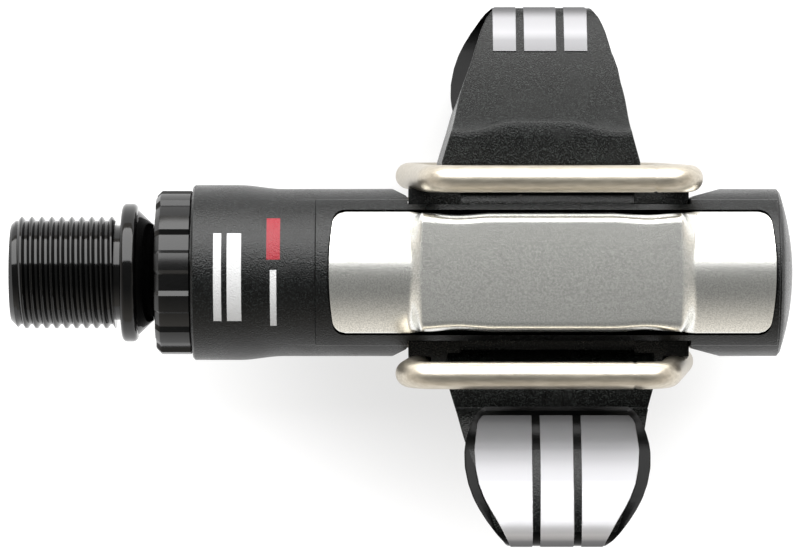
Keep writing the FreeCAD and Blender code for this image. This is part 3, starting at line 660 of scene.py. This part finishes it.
def prism(outline, low, high):
    """A closed prism along Z over an outline of (x, y) points."""
    bm = bmesh.new()
    base = bm.faces.new([bm.verts.new((x, y, low)) for x, y in outline])
    grown = bmesh.ops.extrude_face_region(bm, geom=[base])
    top = [item for item in grown["geom"] if isinstance(item, bmesh.types.BMVert)]
    bmesh.ops.translate(bm, vec=(0, 0, high - low), verts=top)
    bmesh.ops.recalc_face_normals(bm, faces=bm.faces)
    return bm


def plate_outline(grow):
    """The wear plate's plan, grown a little: straight sides, bowed ends and small round corners."""
    half = PLATE_HALF + grow
    start, end = plate_low.x - grow, plate_high.x + grow
    corner = PLATE_CORNER + grow
    corner_x, corner_y = end - PLATE_BOW - corner, half - corner
    crown = [(end - PLATE_BOW * (share / 4) ** 2, share / 4 * corner_y) for share in range(-3, 4)]
    right = (arc((corner_x, -corner_y), corner, -90, 0, 6) + crown
             + arc((corner_x, corner_y), corner, 0, 90, 6))
    left = [(start + end - x, y) for x, y in reversed(right)]
    return right + left


def recess_outline(side):
    """Plan of the space that a jaw swings in."""
    points = [(34.3, 13), (34.3, BARREL), (36.0, 9.75), (RECESS_START, 9.4), (RECESS_START, PIVOT_Y),
              (RECESS_END, PIVOT_Y), (RECESS_END, 9.4), (72.5, 9.7), (76.0, BARREL), (76.0, 13)]
    return [(x, side * y) for x, y in points]


# %% [markdown]
# The bezel is a strip of the barrel's own surface that stands a little prouder. Cutting the mesh along
# the strip's border with planes gives a clean edge, and the points inside it are then pushed outwards.

# %% The bezel
BEZEL_END = CORNER_X - 0.5
BEZEL_STEP = 0.14
TOUCH = 1e-4


def plane_cut(bm, point, normal, snap=1e-4):
    """Adds edges where a plane meets the mesh; points nearer than snap count as on it."""
    bmesh.ops.bisect_plane(bm, geom=bm.verts[:] + bm.edges[:] + bm.faces[:], dist=snap,
                           plane_co=point, plane_no=normal)


for inset in (0.0, BEZEL_STEP):
    for side in (-1, 1):
        plane_cut(body, (0, side * (BEZEL_HALF - inset), 0), (0, 1, 0))
    plane_cut(body, (BEZEL_START + inset, 0, 0), (1, 0, 0))
    plane_cut(body, (BEZEL_END - inset, 0, 0), (1, 0, 0))
for vert in body.verts:
    x, y, z = vert.co
    inside = BEZEL_START + BEZEL_STEP - TOUCH < x < BEZEL_END - BEZEL_STEP + TOUCH
    if inside and abs(y) < BEZEL_HALF - BEZEL_STEP + TOUCH and math.hypot(y, z) > BARREL - 0.5:
        vert.co.z *= math.sqrt(BEZEL ** 2 - y ** 2) / abs(z)

# %% [markdown]
# The bore steps down for the lock ring, the bearing, the seal and the needle bearing. Each jaw gets
# its recess, the round room for its hub, and a hole for its pivot pin that is open at the outer end.

# %% Bore, recesses and seats
BORE = (
    (body_low.x - 3, 0), (body_low.x - 3, 9.3), (13.4, 9.3), (13.4, 9.0), (18.4, 9.0), (18.4, 7.8),
    (23.5, 7.8), (25.5, 5.05), (71.8, 5.05), (71.8, 5.0), (80.2, 5.0), (80.2, 3.6), (81.4, 3.6), (81.4, 0),
)
HUB_ROOM = 2.8
PIN_START, PIN_RADIUS = 32.8, 1.0
SEAT_RADIUS = 10.15
SEAT_GAP = 0.28

body = carve(body, turned(BORE, steps=96))
for side in (-1, 1):
    pivot_y = side * PIVOT_Y
    body = carve(body, prism(recess_outline(side), -14, 14))
    body = carve(body, bar_along_x(RECESS_START, RECESS_END, HUB_ROOM, 40, y=pivot_y))
    body = carve(body, bar_along_x(PIN_START, body_high.x + 2, PIN_RADIUS, 32, y=pivot_y))
    shell = turned([(20, SEAT_RADIUS), (20, 14), (84.5, 14), (84.5, SEAT_RADIUS), (20, SEAT_RADIUS)],
                   steps=BLANK_STEPS)
    seat = carve(shell, prism(plate_outline(SEAT_GAP), side * 4, side * 16), "INTERSECT")
    body = carve(body, seat)
print("body cut to", len(body.faces), "faces")

# %% [markdown]
# ### Printed bars
# The body carries plain printed bars near the collar, where such pedals have their marks. Pad printing
# has no thickness to speak of, so the bars are part of the body's finish: a comparison of each object
# coordinate, multiplied together, makes the mask.

# %% Printed bars
UPPER_SIDE = (10.0, 9.0)


def bar_mask(material, across, along):
    """1 inside a rectangle on the upper side, given as (middle, half) along X and Y in millimetres."""
    place = position(material)
    mask = 1.0
    for name, (middle, half) in (("X", across), ("Y", along), ("Z", UPPER_SIDE)):
        inside = calculate(material, "COMPARE", place[name], middle * MM, half * MM)
        mask = calculate(material, "MULTIPLY", mask, inside)
    return mask


def print_bar(material, across, along, colour):
    """Lays a bar of colour over the material's base colour."""
    base = shader_of(material).inputs["Base Color"]
    under = base.links[0].from_socket
    mix = node(material, "ShaderNodeMix", data_type="RGBA")
    wire(material, bar_mask(material, across, along), mix.inputs["Factor"])
    wire(material, under, mix.inputs[6])
    mix.inputs[7].default_value = (*colour, 1)
    wire(material, mix.outputs[2], base)


WHITE_INK = (0.46, 0.465, 0.47)
RED_INK = (0.20, 0.004, 0.012)
print_bar(body_plastic, (14.5, 0.9), (-0.6, 5.5), WHITE_INK)
print_bar(body_plastic, (12.4, 0.5), (-0.6, 5.5), WHITE_INK)
print_bar(body_plastic, (19.4, 0.4), (-3.2, 3.5), WHITE_INK)
print_bar(body_plastic, (19.4, 0.85), (4.2, 2.6), RED_INK)

# %% The finished body
put(body, "body_moulding", "pedal", body_plastic, "pedal_body",
    bevel=0.16, segments=2, angle=28)

# %% [markdown]
# ## Wear plates
# Each plate is one pressed sheet. Its ends follow the barrel, and its middle is a nearly flat pad whose
# long edges roll over into short skirts. A fine grid is a flat sheet of metal: every point is moved to where
# the press would put it, and the sheet then gets its thickness and a softened rim.

# %% The pad's section and plan
PLATE_RADIUS = 11.2
PAD_TOP = plate_high.z
PAD_HALF = 7.45
PAD_ROLL = 1.15
PAD_CROWN = 0.09
SKIRT_Z = 8.3
PAD_START, PAD_END = 36.5, 72.4
RAMP_IN, RAMP_OUT = 1.55, 1.9
WAISTS = (42.5, 66.3)
WAIST_DEPTH, WAIST_REACH = 0.26, 4.5


def ramp(value):
    """0 to 1 in a nearly straight run: a folded flat with slightly rounded ends."""
    straight = min(1.0, max(0.0, value))
    return 0.7 * straight + 0.3 * eased(value)


def pad_section(share, half):
    """(y, z) on the pad's cross-section: slightly crowned, then a quarter roll, then the skirt."""
    flat = half - PAD_ROLL
    lengths = (flat, PAD_ROLL * math.pi / 2, PAD_TOP - PAD_ROLL - SKIRT_Z)
    along = share * sum(lengths)
    edge = PAD_TOP - PAD_CROWN
    if along < lengths[0]:
        return along, PAD_TOP - PAD_CROWN * (along / flat) ** 2
    if along < lengths[0] + lengths[1]:
        turn = (along - lengths[0]) / PAD_ROLL
        return flat + PAD_ROLL * math.sin(turn), edge - PAD_ROLL + PAD_ROLL * math.cos(turn)
    return half, edge - PAD_ROLL - (along - lengths[0] - lengths[1])


def waist(x):
    """How far the pad's edge draws in beside its two ramps."""
    return sum(WAIST_DEPTH * eased(1 - abs(x - middle) / WAIST_REACH) for middle in WAISTS)


# %% Pressing a plate
END_CORNER = 1.4
SHEET = 1.0


def plate_point(u, v):
    """Where the press puts a point of the flat sheet, u and v from -1 to 1."""
    half_end = plate_high.y + 0.02
    past = max(0.0, abs(v) * half_end - (half_end - END_CORNER))
    shorten = PLATE_BOW * v * v + END_CORNER - math.sqrt(max(0.0, END_CORNER ** 2 - past ** 2))
    middle = (plate_low.x + plate_high.x) / 2
    x = middle + u * ((plate_high.x - plate_low.x) / 2 - shorten)
    share = ramp((x - PAD_START) / RAMP_IN) * ramp((PAD_END - x) / RAMP_OUT)
    end_y = abs(v) * half_end
    end_z = math.sqrt(PLATE_RADIUS ** 2 - end_y ** 2)
    pad_y, pad_z = pad_section(abs(v), PAD_HALF - waist(x))
    y = end_y + (pad_y - end_y) * share
    z = end_z + (pad_z - end_z) * share
    return Vector((x, math.copysign(y, v), z))


def pressed_plate(name, stands_for, turn):
    """A wear plate, turned about the X axis to its side."""
    bm = bmesh.new()
    bmesh.ops.create_grid(bm, x_segments=230, y_segments=72, size=1.0)
    for vert in bm.verts:
        vert.co = plate_point(vert.co.x, vert.co.y)
    bmesh.ops.recalc_face_normals(bm, faces=bm.faces)
    # An open sheet has no outside of its own, so its faces are made to look up.
    if sum(face.normal.z for face in bm.faces) < 0:
        bmesh.ops.reverse_faces(bm, faces=bm.faces)
    bmesh.ops.rotate(bm, verts=bm.verts, cent=(0, 0, 0), matrix=Matrix.Rotation(turn, 3, "X"))
    piece = put(bm, name, "pedal", wear_steel, stands_for, angle=50)
    sheet = piece.modifiers.new("sheet_thickness", "SOLIDIFY")
    sheet.thickness = SHEET * MM
    sheet.offset = -1.0
    rim = piece.modifiers.new("softened_rim", "BEVEL")
    rim.width = 0.28 * MM
    rim.segments = 3
    rim.limit_method = "ANGLE"
    rim.angle_limit = math.radians(50)


pressed_plate("upper_plate_pressed", "wear_plate_upper", 0.0)
pressed_plate("lower_plate_pressed", "wear_plate_lower", math.pi)

# Under each pad the body has a land that the sheet rests on.
LAND_INSET, LAND_HALF, LAND_FOOT = 1.3, 6.2, 9.0
for name, side in (("upper_land", 1), ("lower_land", -1)):
    land = slab((PAD_START + LAND_INSET, PAD_END - LAND_INSET), (-LAND_HALF, LAND_HALF),
                sorted((side * LAND_FOOT, side * (PAD_TOP - SHEET - 0.05))))
    put(land, name, "pedal", body_plastic, None, bevel=0.3)

# %% [markdown]
# ## Bails
# A bail is one length of wire bent into a closed, slightly skewed hoop and butt welded. A circle is
# carried along the hoop: pulled straight for a side, and spun round a corner's centre for a bend. A
# narrow waist beside one bend is the weld.

# %% The bent wire
WIRE = 1.7
BEND = 3.6
HOOP_MIDDLE = 54.0
HOOP_HALF_X, HOOP_HALF_Z = 16.3, 14.0
HOOP_SKEW = 1.75
# Reach and lean of each hoop along Y: they hang a little differently in their grooves.
HOOP_HANG = {"front": (12.15, 0.5), "rear": (12.05, 0.8)}
# The bar, numbered round the hoop, whose outboard end has the weld in view from above.
WELD_BAR = {"front": 2, "rear": 0}
WELD_START, WELD_HALF, WELD_WAIST = 0.5, 0.3, 0.92


def pull(bm, edges, shift):
    """Extrudes a ring of edges along a straight line and gives back the new ring."""
    grown = bmesh.ops.extrude_edge_only(bm, edges=edges)["geom"]
    verts = [item for item in grown if isinstance(item, bmesh.types.BMVert)]
    bmesh.ops.translate(bm, verts=verts, vec=shift)
    return [item for item in grown if isinstance(item, bmesh.types.BMEdge)
            and all(vert in verts for vert in item.verts)]


def wire_hoop(reach_y, lean, weld_bar):
    """The hoop as drawn: reaching along +Y, its upper bar the further out."""
    hoop = [Vector((HOOP_MIDDLE + across * HOOP_HALF_X + up * HOOP_SKEW, reach_y + up * lean,
                    up * HOOP_HALF_Z)) for across, up in ((-1, 1), (1, 1), (1, -1), (-1, -1))]
    ways = [(hoop[(side + 1) % 4] - hoop[side]).normalized() for side in range(4)]
    axis = ways[0].cross(ways[1]).normalized()
    bends = [ways[side - 1].angle(ways[side]) for side in range(4)]
    reach = [BEND * math.tan(bend / 2) for bend in bends]
    bm = bmesh.new()
    start = hoop[0] + ways[0] * reach[0]
    facing = Vector((0, 0, 1)).rotation_difference(ways[0]).to_matrix().to_4x4()
    bmesh.ops.create_circle(bm, segments=32, radius=WIRE, matrix=Matrix.Translation(start) @ facing)
    ring = bm.edges[:]
    for side in range(4):
        onward = (side + 1) % 4
        length = (hoop[onward] - hoop[side]).length - reach[side] - reach[onward]
        parts = [length / 2, length / 2]
        if side == weld_bar:
            parts = [WELD_START, WELD_HALF, WELD_HALF, length - WELD_START - 2 * WELD_HALF]
            if side == 2:
                parts = parts[::-1]
        for number, part in enumerate(parts):
            ring = pull(bm, ring, ways[side] * part)
            if side == weld_bar and number in (1, 2):
                narrowing = WELD_WAIST if number == 1 else 1 / WELD_WAIST
                waist_verts = list({vert for edge in ring for vert in edge.verts})
                middle = sum((vert.co for vert in waist_verts), Vector()) / len(waist_verts)
                for vert in waist_verts:
                    vert.co = middle + (vert.co - middle) * narrowing
        centre = hoop[onward] - ways[side] * reach[onward] + axis.cross(ways[side]) * BEND
        spun = bmesh.ops.spin(bm, geom=ring + list({vert for edge in ring for vert in edge.verts}),
                              cent=centre, axis=axis, angle=bends[onward], steps=14,
                              use_merge=False, use_duplicate=False)
        ring = [item for item in spun["geom_last"] if isinstance(item, bmesh.types.BMEdge)]
    bmesh.ops.remove_doubles(bm, verts=bm.verts, dist=0.02)
    bmesh.ops.recalc_face_normals(bm, faces=bm.faces)
    return bm


# %% [markdown]
# Both jaws are drawn once, reaching along +Y. Half a turn about Y or Z then brings a piece to the front
# or the rear, so nothing is mirrored and no face is turned inside out.

# %% Bails
def to_side(bm, side):
    """Turns a jaw's piece from how it is drawn to the front or the rear of the pedal."""
    half_turn = Matrix.Rotation(math.pi, 3, "Y" if side == "front" else "Z")
    bmesh.ops.rotate(bm, verts=bm.verts, cent=(HOOP_MIDDLE, 0, 0), matrix=half_turn)
    return bm


for side, hang in HOOP_HANG.items():
    hoop = to_side(wire_hoop(*hang, WELD_BAR[side]), side)
    put(hoop, f"{side}_hoop", f"{side}_jaw", wire_steel, f"{side}_bail", angle=60)

# %% [markdown]
# ## Arms
# An arm has a hub on the pivot pin, a chunky root that passes through the hoop, and a curved head under
# a wider shield. The side view is made of four lines: the shield, the tip, the hollow back and the
# root. Each can be drawn at a depth under the surface, so the same lines also give the skins on top.

# %% The arm's side view
TIP_CENTRE = (31.4, 10.2)
TIP_RADIUS = 2.85
LIP_START = (17.2, 6.4)
SCOOP_START = (18.3, -4.9)
HUB = 2.4
BACK_TURN = 60


def shield_radius():
    """Radius of the arc from the shield's lip that meets the tip's circle at its top."""
    run = TIP_CENTRE[0] - LIP_START[0]
    rise = TIP_CENTRE[1] + TIP_RADIUS - LIP_START[1]
    return (run * run + rise * rise) / (2 * rise)


def shield_line(depth, start_y, count=16, extra=0.0):
    """Points along the shield to the tip's top, at a depth under its face and extra deep at start_y."""
    centre_z = TIP_CENTRE[1] + TIP_RADIUS - shield_radius()
    line = []
    for number in range(count + 1):
        y = start_y + (TIP_CENTRE[0] - start_y) * number / count
        radius = shield_radius() - depth - extra * (1 - number / count)
        line.append((y, centre_z + math.sqrt(radius ** 2 - (y - TIP_CENTRE[0]) ** 2)))
    return line


def tip_line(depth, end=-BACK_TURN):
    """Points round the tip, after its top, down to an angle."""
    return arc(TIP_CENTRE, TIP_RADIUS - depth, 90, end, 12)[1:]


def back_line(depth, end_y, count=14):
    """Points down the hollow back from the tip to end_y."""
    turn = math.radians(BACK_TURN)
    start = (TIP_CENTRE[0] + TIP_RADIUS * math.cos(turn), TIP_CENTRE[1] - TIP_RADIUS * math.sin(turn))
    chord = math.hypot(SCOOP_START[0] - start[0], SCOOP_START[1] - start[1])
    away = math.atan2(start[1] - SCOOP_START[1], start[0] - SCOOP_START[0]) - (math.pi / 2 - turn)
    hollow = chord / (2 * math.sin(away))
    centre = (start[0] + math.cos(turn) * hollow, start[1] - math.sin(turn) * hollow)
    hollow += depth
    start_y = TIP_CENTRE[0] + (TIP_RADIUS - depth) * math.cos(turn)
    line = []
    for number in range(1, count + 1):
        y = start_y + (end_y - start_y) * number / count
        line.append((y, centre[1] + math.sqrt(hollow ** 2 - (y - centre[0]) ** 2)))
    return line


# %% [markdown]
# A side view is pulled along X, and then every point is moved sideways so that the plan tapers. The
# planes that cut it first give the taper somewhere to bend.

# %% Solids from a side view
def wrap(depth, start_y, end_y):
    """Points along the shield, round the tip and a little way down the back."""
    return shield_line(depth, start_y) + tip_line(depth) + back_line(depth, end_y)


def between_lines(outer, inner):
    """Closed side view of a skin between an outer and an inner line."""
    return outer + inner[::-1]


def pulled(outline, stations_y, stations_t):
    """A solid from a side view (y, z), one unit to each side along X, cut at planes."""
    bm = bmesh.new()
    face = bm.faces.new([bm.verts.new((-1, y, z)) for y, z in outline])
    grown = bmesh.ops.extrude_face_region(bm, geom=[face])
    far = [item for item in grown["geom"] if isinstance(item, bmesh.types.BMVert)]
    bmesh.ops.translate(bm, vec=(2, 0, 0), verts=far)
    for y in stations_y:
        plane_cut(bm, (0, y, 0), (0, 1, 0), snap=0.12)
    for t in stations_t:
        plane_cut(bm, (t, 0, 0), (1, 0, 0))
    bmesh.ops.recalc_face_normals(bm, faces=bm.faces)
    return bm


def between(table, y):
    """Reads a half width at y from (y, half width) pairs with straight runs between."""
    if y <= table[0][0]:
        return table[0][1]
    for (y0, w0), (y1, w1) in zip(table, table[1:]):
        if y <= y1:
            return w0 + (w1 - w0) * (y - y0) / (y1 - y0)
    return table[-1][1]


# %% [markdown]
# The widths below are the plan of the arm, read outwards from the pedal: the core tapers evenly, the
# shield's lip swells past it with round shoulders, and the badges stay inside the lip.

# %% Plans
LIP_EDGE, BADGE_EDGE = 16.9, 17.95
CORE_PLAN = (
    (8.6, 12.6), (14.0, 12.5), (17.8, 11.4), (28.6, 8.75), (31.0, 8.05), (32.5, 7.45), (33.5, 6.85),
    (34.3, 6.1),
)
LIP_PLAN = (
    (LIP_EDGE, 9.0), (17.1, 9.4), (17.6, 9.95), (18.3, 10.45), (19.2, 10.85), (20.2, 11.2),
    (21.4, 11.5), (22.6, 11.65), (24.4, 11.6), (26.4, 11.2), (28.2, 10.55), (29.6, 9.8), (31.0, 8.9),
    (32.6, 7.7), (33.5, 6.9), (34.3, 5.9),
)
BADGE_PLAN = (
    (BADGE_EDGE, 9.2), (18.2, 9.6), (19.0, 9.95), (22.2, 10.35), (24.4, 10.2), (26.4, 9.8), (28.2, 9.1),
    (29.6, 8.35), (31.0, 7.5), (32.6, 6.6), (34.3, 5.8),
)
BADGE_BACK_HALF = 6.1
# The front shield is trimmed a little narrower.
LIP_TRIM = {"front": 0.95, "rear": 1.0}
# Middles of root, head and shield along X: the jaws have side play on their pins.
MIDDLES = {"front": (54.9, 54.3, 55.1), "rear": (53.6, 53.15, 53.0)}

# %% [markdown]
# The core is root and head in one. It is slightly wider on the shield's side, so that it would leave
# its mould, and its back carries an arched ridge beside the bail.

# %% The core
CORE_DRAFT = 0.6
RIDGE_RISE, RIDGE_HALF, RIDGE_SLOPE = 1.2, 0.85, 0.55


def arm_side_view():
    """The core's side view, with the root's ridge and the hub's round end."""
    root = [(17.9, -5.8), (17.2, -5.95), (13.0, -5.95), (12.4, -5.6), (11.2, -4.2), (9.8, -2.08)]
    root += arc((PIVOT_Y, 0), HUB, -60, -300, 14)[1:-1]
    root += [(9.8, 2.08), (11.2, 3.6), (12.4, 4.8), (12.9, 5.0), (17.2, 5.0)]
    return shield_line(0, LIP_START[0]) + tip_line(0) + back_line(0, SCOOP_START[0]) + root


def core_body(root_x, head_x):
    """Root and head of an arm, tapered in plan, with an arched ridge on its back."""
    rows = [row / 2 for row in range(20, 69, 2)] + [17.2, 17.8, 18.3]
    bm = pulled(arm_side_view(), rows, [step / 12 for step in range(-11, 12)])
    for vert in bm.verts:
        t, y, z = vert.co
        if 17.0 < y < 18.6 and z < -3.5:
            y += RIDGE_RISE * eased((RIDGE_HALF - abs(t)) / RIDGE_SLOPE)
        centre = root_x + (head_x - root_x) * eased((y - 14) / 18)
        draft = CORE_DRAFT * eased((z + 5) / 9) * eased((28 - y) / 8)
        vert.co = (centre + t * (between(CORE_PLAN, vert.co.y) + draft), y, z)
    return bm


# %% [markdown]
# A skin is a thin layer on the head. The shield's lip is one: smooth, sunk a little inside a narrow
# raised rim, and lifted off the core where it starts beside the bail.

# %% The skins
LIP_PROUD, LIP_THICK, LIP_LIFT = 0.04, 1.5, 0.34
RIM_WIDTH, RIM_HEIGHT = 0.5, 0.26
# A point under the shield that its face looks away from, in the side view.
UNDER_FACE = (27.0, -2.0)


def skin(side_view, half_at, middle, low=None, high=None):
    """A skin on the head; each side follows half_at(y, z), or a straight line where one is given."""
    bm = pulled(side_view, [17.1, 17.35, 17.65] + [row / 2 for row in range(36, 69)], [-0.5, 0.0, 0.5])
    for vert in bm.verts:
        t, y, z = vert.co
        half = half_at(y, z)
        left = -half if low is None else low
        right = half if high is None else high
        vert.co.x = middle + left + (right - left) * (t + 1) / 2
    return bm


def rimmed_lip(trim, middle):
    """The shield's lip, its face sunk a little inside a narrow raised rim."""
    outer = shield_line(-LIP_PROUD, LIP_EDGE, extra=-LIP_LIFT) + tip_line(-LIP_PROUD, -20)
    inner = shield_line(LIP_THICK, LIP_EDGE) + tip_line(LIP_THICK, -20)
    bm = skin(between_lines(outer, inner), lambda y, z: trim * between(LIP_PLAN, y), middle)
    bm.normal_update()
    face_side = []
    for face in bm.faces:
        y, z = face.calc_center_median().yz
        outward = face.normal.y * (y - UNDER_FACE[0]) + face.normal.z * (z - UNDER_FACE[1]) > 0
        upper = face.normal.z > 0.3 and abs(face.normal.x) < 0.5
        if outward and upper and y < TIP_CENTRE[0] + 1.2:
            face_side.append(face)
    bmesh.ops.inset_region(bm, faces=face_side, thickness=RIM_WIDTH, depth=-RIM_HEIGHT,
                           use_even_offset=True)
    return bm


# %% [markdown]
# The hub is in two halves, with the spring between them, and it ends just short of the recess's walls.
# Lugs beside it hold the hoop's legs; the outer ones are cut back where a leg lies against them.

# %% Arms and lips
HUB_START, HUB_END = 36.05, 71.65
HUB_HALVES = ((HUB_START, 49.7), (58.3, HUB_END))
# (start, end, reach) of each lug.
LUGS = ((HUB_START, 39.4, 10.7), (39.2, 43.0, 11.6), (65.0, 68.8, 11.6), (68.6, HUB_END, 10.7))
LUG_Z = (-2.5, 2.5)
# A low step on the rear root, in view between the bail and the lip.
REAR_STEP = ((52.2, 54.3), (14.4, 17.2), (4.6, 5.6))

for side, (root_x, head_x, lip_x) in MIDDLES.items():
    lip = to_side(rimmed_lip(LIP_TRIM[side], lip_x), side)
    put(lip, f"{side}_lip", f"{side}_jaw", lip_plastic, None, bevel=0.15, angle=34)
    arm = core_body(root_x, head_x)
    for low, high in HUB_HALVES:
        add_to(arm, bar_along_x(low, high, HUB, 40, y=PIVOT_Y))
    for low, high, reach in LUGS:
        add_to(arm, slab((low, high), (PIVOT_Y, reach), LUG_Z))
    if side == "rear":
        add_to(arm, slab(*REAR_STEP))
    put(to_side(arm, side), f"{side}_arm_moulding", f"{side}_jaw", arm_plastic,
        f"{side}_arm", bevel=0.4, angle=34)

# %% [markdown]
# ### Badge plates
# Three thin plates lie on each shield, parted by straight black gaps, and fold over the tip. They are
# a skin like the lip, cut narrower and standing 0.14 mm proud of the head.

# %% Badges
GAP_INNER, GAP_OUTER = 2.1, 3.05
BADGE_PROUD, BADGE_DEEP = 0.14, 0.5
BADGE_BACK_END = 28.4


def badge_half(y, z):
    """Half width of the badges: the plan on the shield, straight once round the tip."""
    if y > 28.0 and z < TIP_CENTRE[1] - 0.8:
        return BADGE_BACK_HALF
    return between(BADGE_PLAN, y)


badge_view = between_lines(wrap(-BADGE_PROUD, BADGE_EDGE, BADGE_BACK_END),
                           wrap(BADGE_DEEP, BADGE_EDGE, BADGE_BACK_END))
for side, (_, head_x, lip_x) in MIDDLES.items():
    middle = (head_x + lip_x) / 2
    badges = skin(badge_view, badge_half, middle, low=-GAP_INNER, high=GAP_INNER)
    add_to(badges, skin(badge_view, badge_half, middle, high=-GAP_OUTER))
    add_to(badges, skin(badge_view, badge_half, middle, low=GAP_OUTER))
    put(to_side(badges, side), f"{side}_badge_plates", f"{side}_jaw", badge_metal,
        f"{side}_badges", bevel=0.1, segments=2, angle=40)

# %% [markdown]
# ## Inner pieces
# Bearings, seal, clip, pins and springs keep their CAD shape. Each only needs its own finish.

# %% Finishes for the CAD nodes that stay
STAYING = {
    "spindle_circlip": spring_steel, "lip_seal": seal_rubber, "bearing_outer_ring": bearing_steel,
    "bearing_inner_ring": bearing_steel, "bearing_balls": bearing_steel, "bearing_cage": cage_nylon,
    "bearing_shields": seal_rubber, "needle_cup": bearing_steel, "needle_rollers": bearing_steel,
    "front_pivot_pin": pin_steel, "rear_pivot_pin": pin_steel, "front_spring": spring_steel,
    "rear_spring": spring_steel,
}
for name, material in STAYING.items():
    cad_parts[name].material_slots[0].material = material
print("gave", len(STAYING), "CAD nodes a finish")

# %% [markdown]
# ## Floor
# The pedal rests on its lower bars, on a pale light table without an edge in view. The table glows
# from below, less near the pedal, which paints a soft shadow round it.

# %% Floor
# The glow is lower near the pedal than far off: a painted shadow round the pedal.
GLOW_NEAR, GLOW_FAR = 0.015, 0.052
GLOW_LEAST, GLOW_MOST = 0.68, 1.05
FLOOR_Z = cad_box[0][2]

pale = finish("pale_floor", (0.20, 0.20, 0.20), 0.8)
shader_of(pale).inputs["Specular IOR Level"].default_value = 0.0
shader_of(pale).inputs["Emission Color"].default_value = (1, 1, 1, 1)
place = node(pale, "ShaderNodeTexCoord")
away = node(pale, "ShaderNodeVectorMath", operation="DISTANCE")
away.inputs[1].default_value = (SUBJECT.x, SUBJECT.y, FLOOR_Z)
wire(pale, place.outputs["Object"], away.inputs[0])
glow_with_painted_shadow = spread(pale, away.outputs["Value"], GLOW_LEAST, GLOW_MOST, (GLOW_NEAR, GLOW_FAR))
wire(pale, glow_with_painted_shadow, shader_of(pale).inputs["Emission Strength"])
bm = bmesh.new()
bmesh.ops.create_grid(bm, x_segments=1, y_segments=1, size=1.6)
bmesh.ops.translate(bm, verts=bm.verts, vec=(0, 0, FLOOR_Z - 0.2 * MM))
floor = as_object(bm, "floor")
floor.data.materials.append(pale)

# %% [markdown]
# ## The CAD model's size
# The CAD model's box is printed in plain rounded numbers.

# %% The CAD box
def plain(box):
    """A box as plain rounded numbers."""
    return [[round(float(number), 6) for number in corner] for corner in box]


print("CAD box", plain(cad_box))
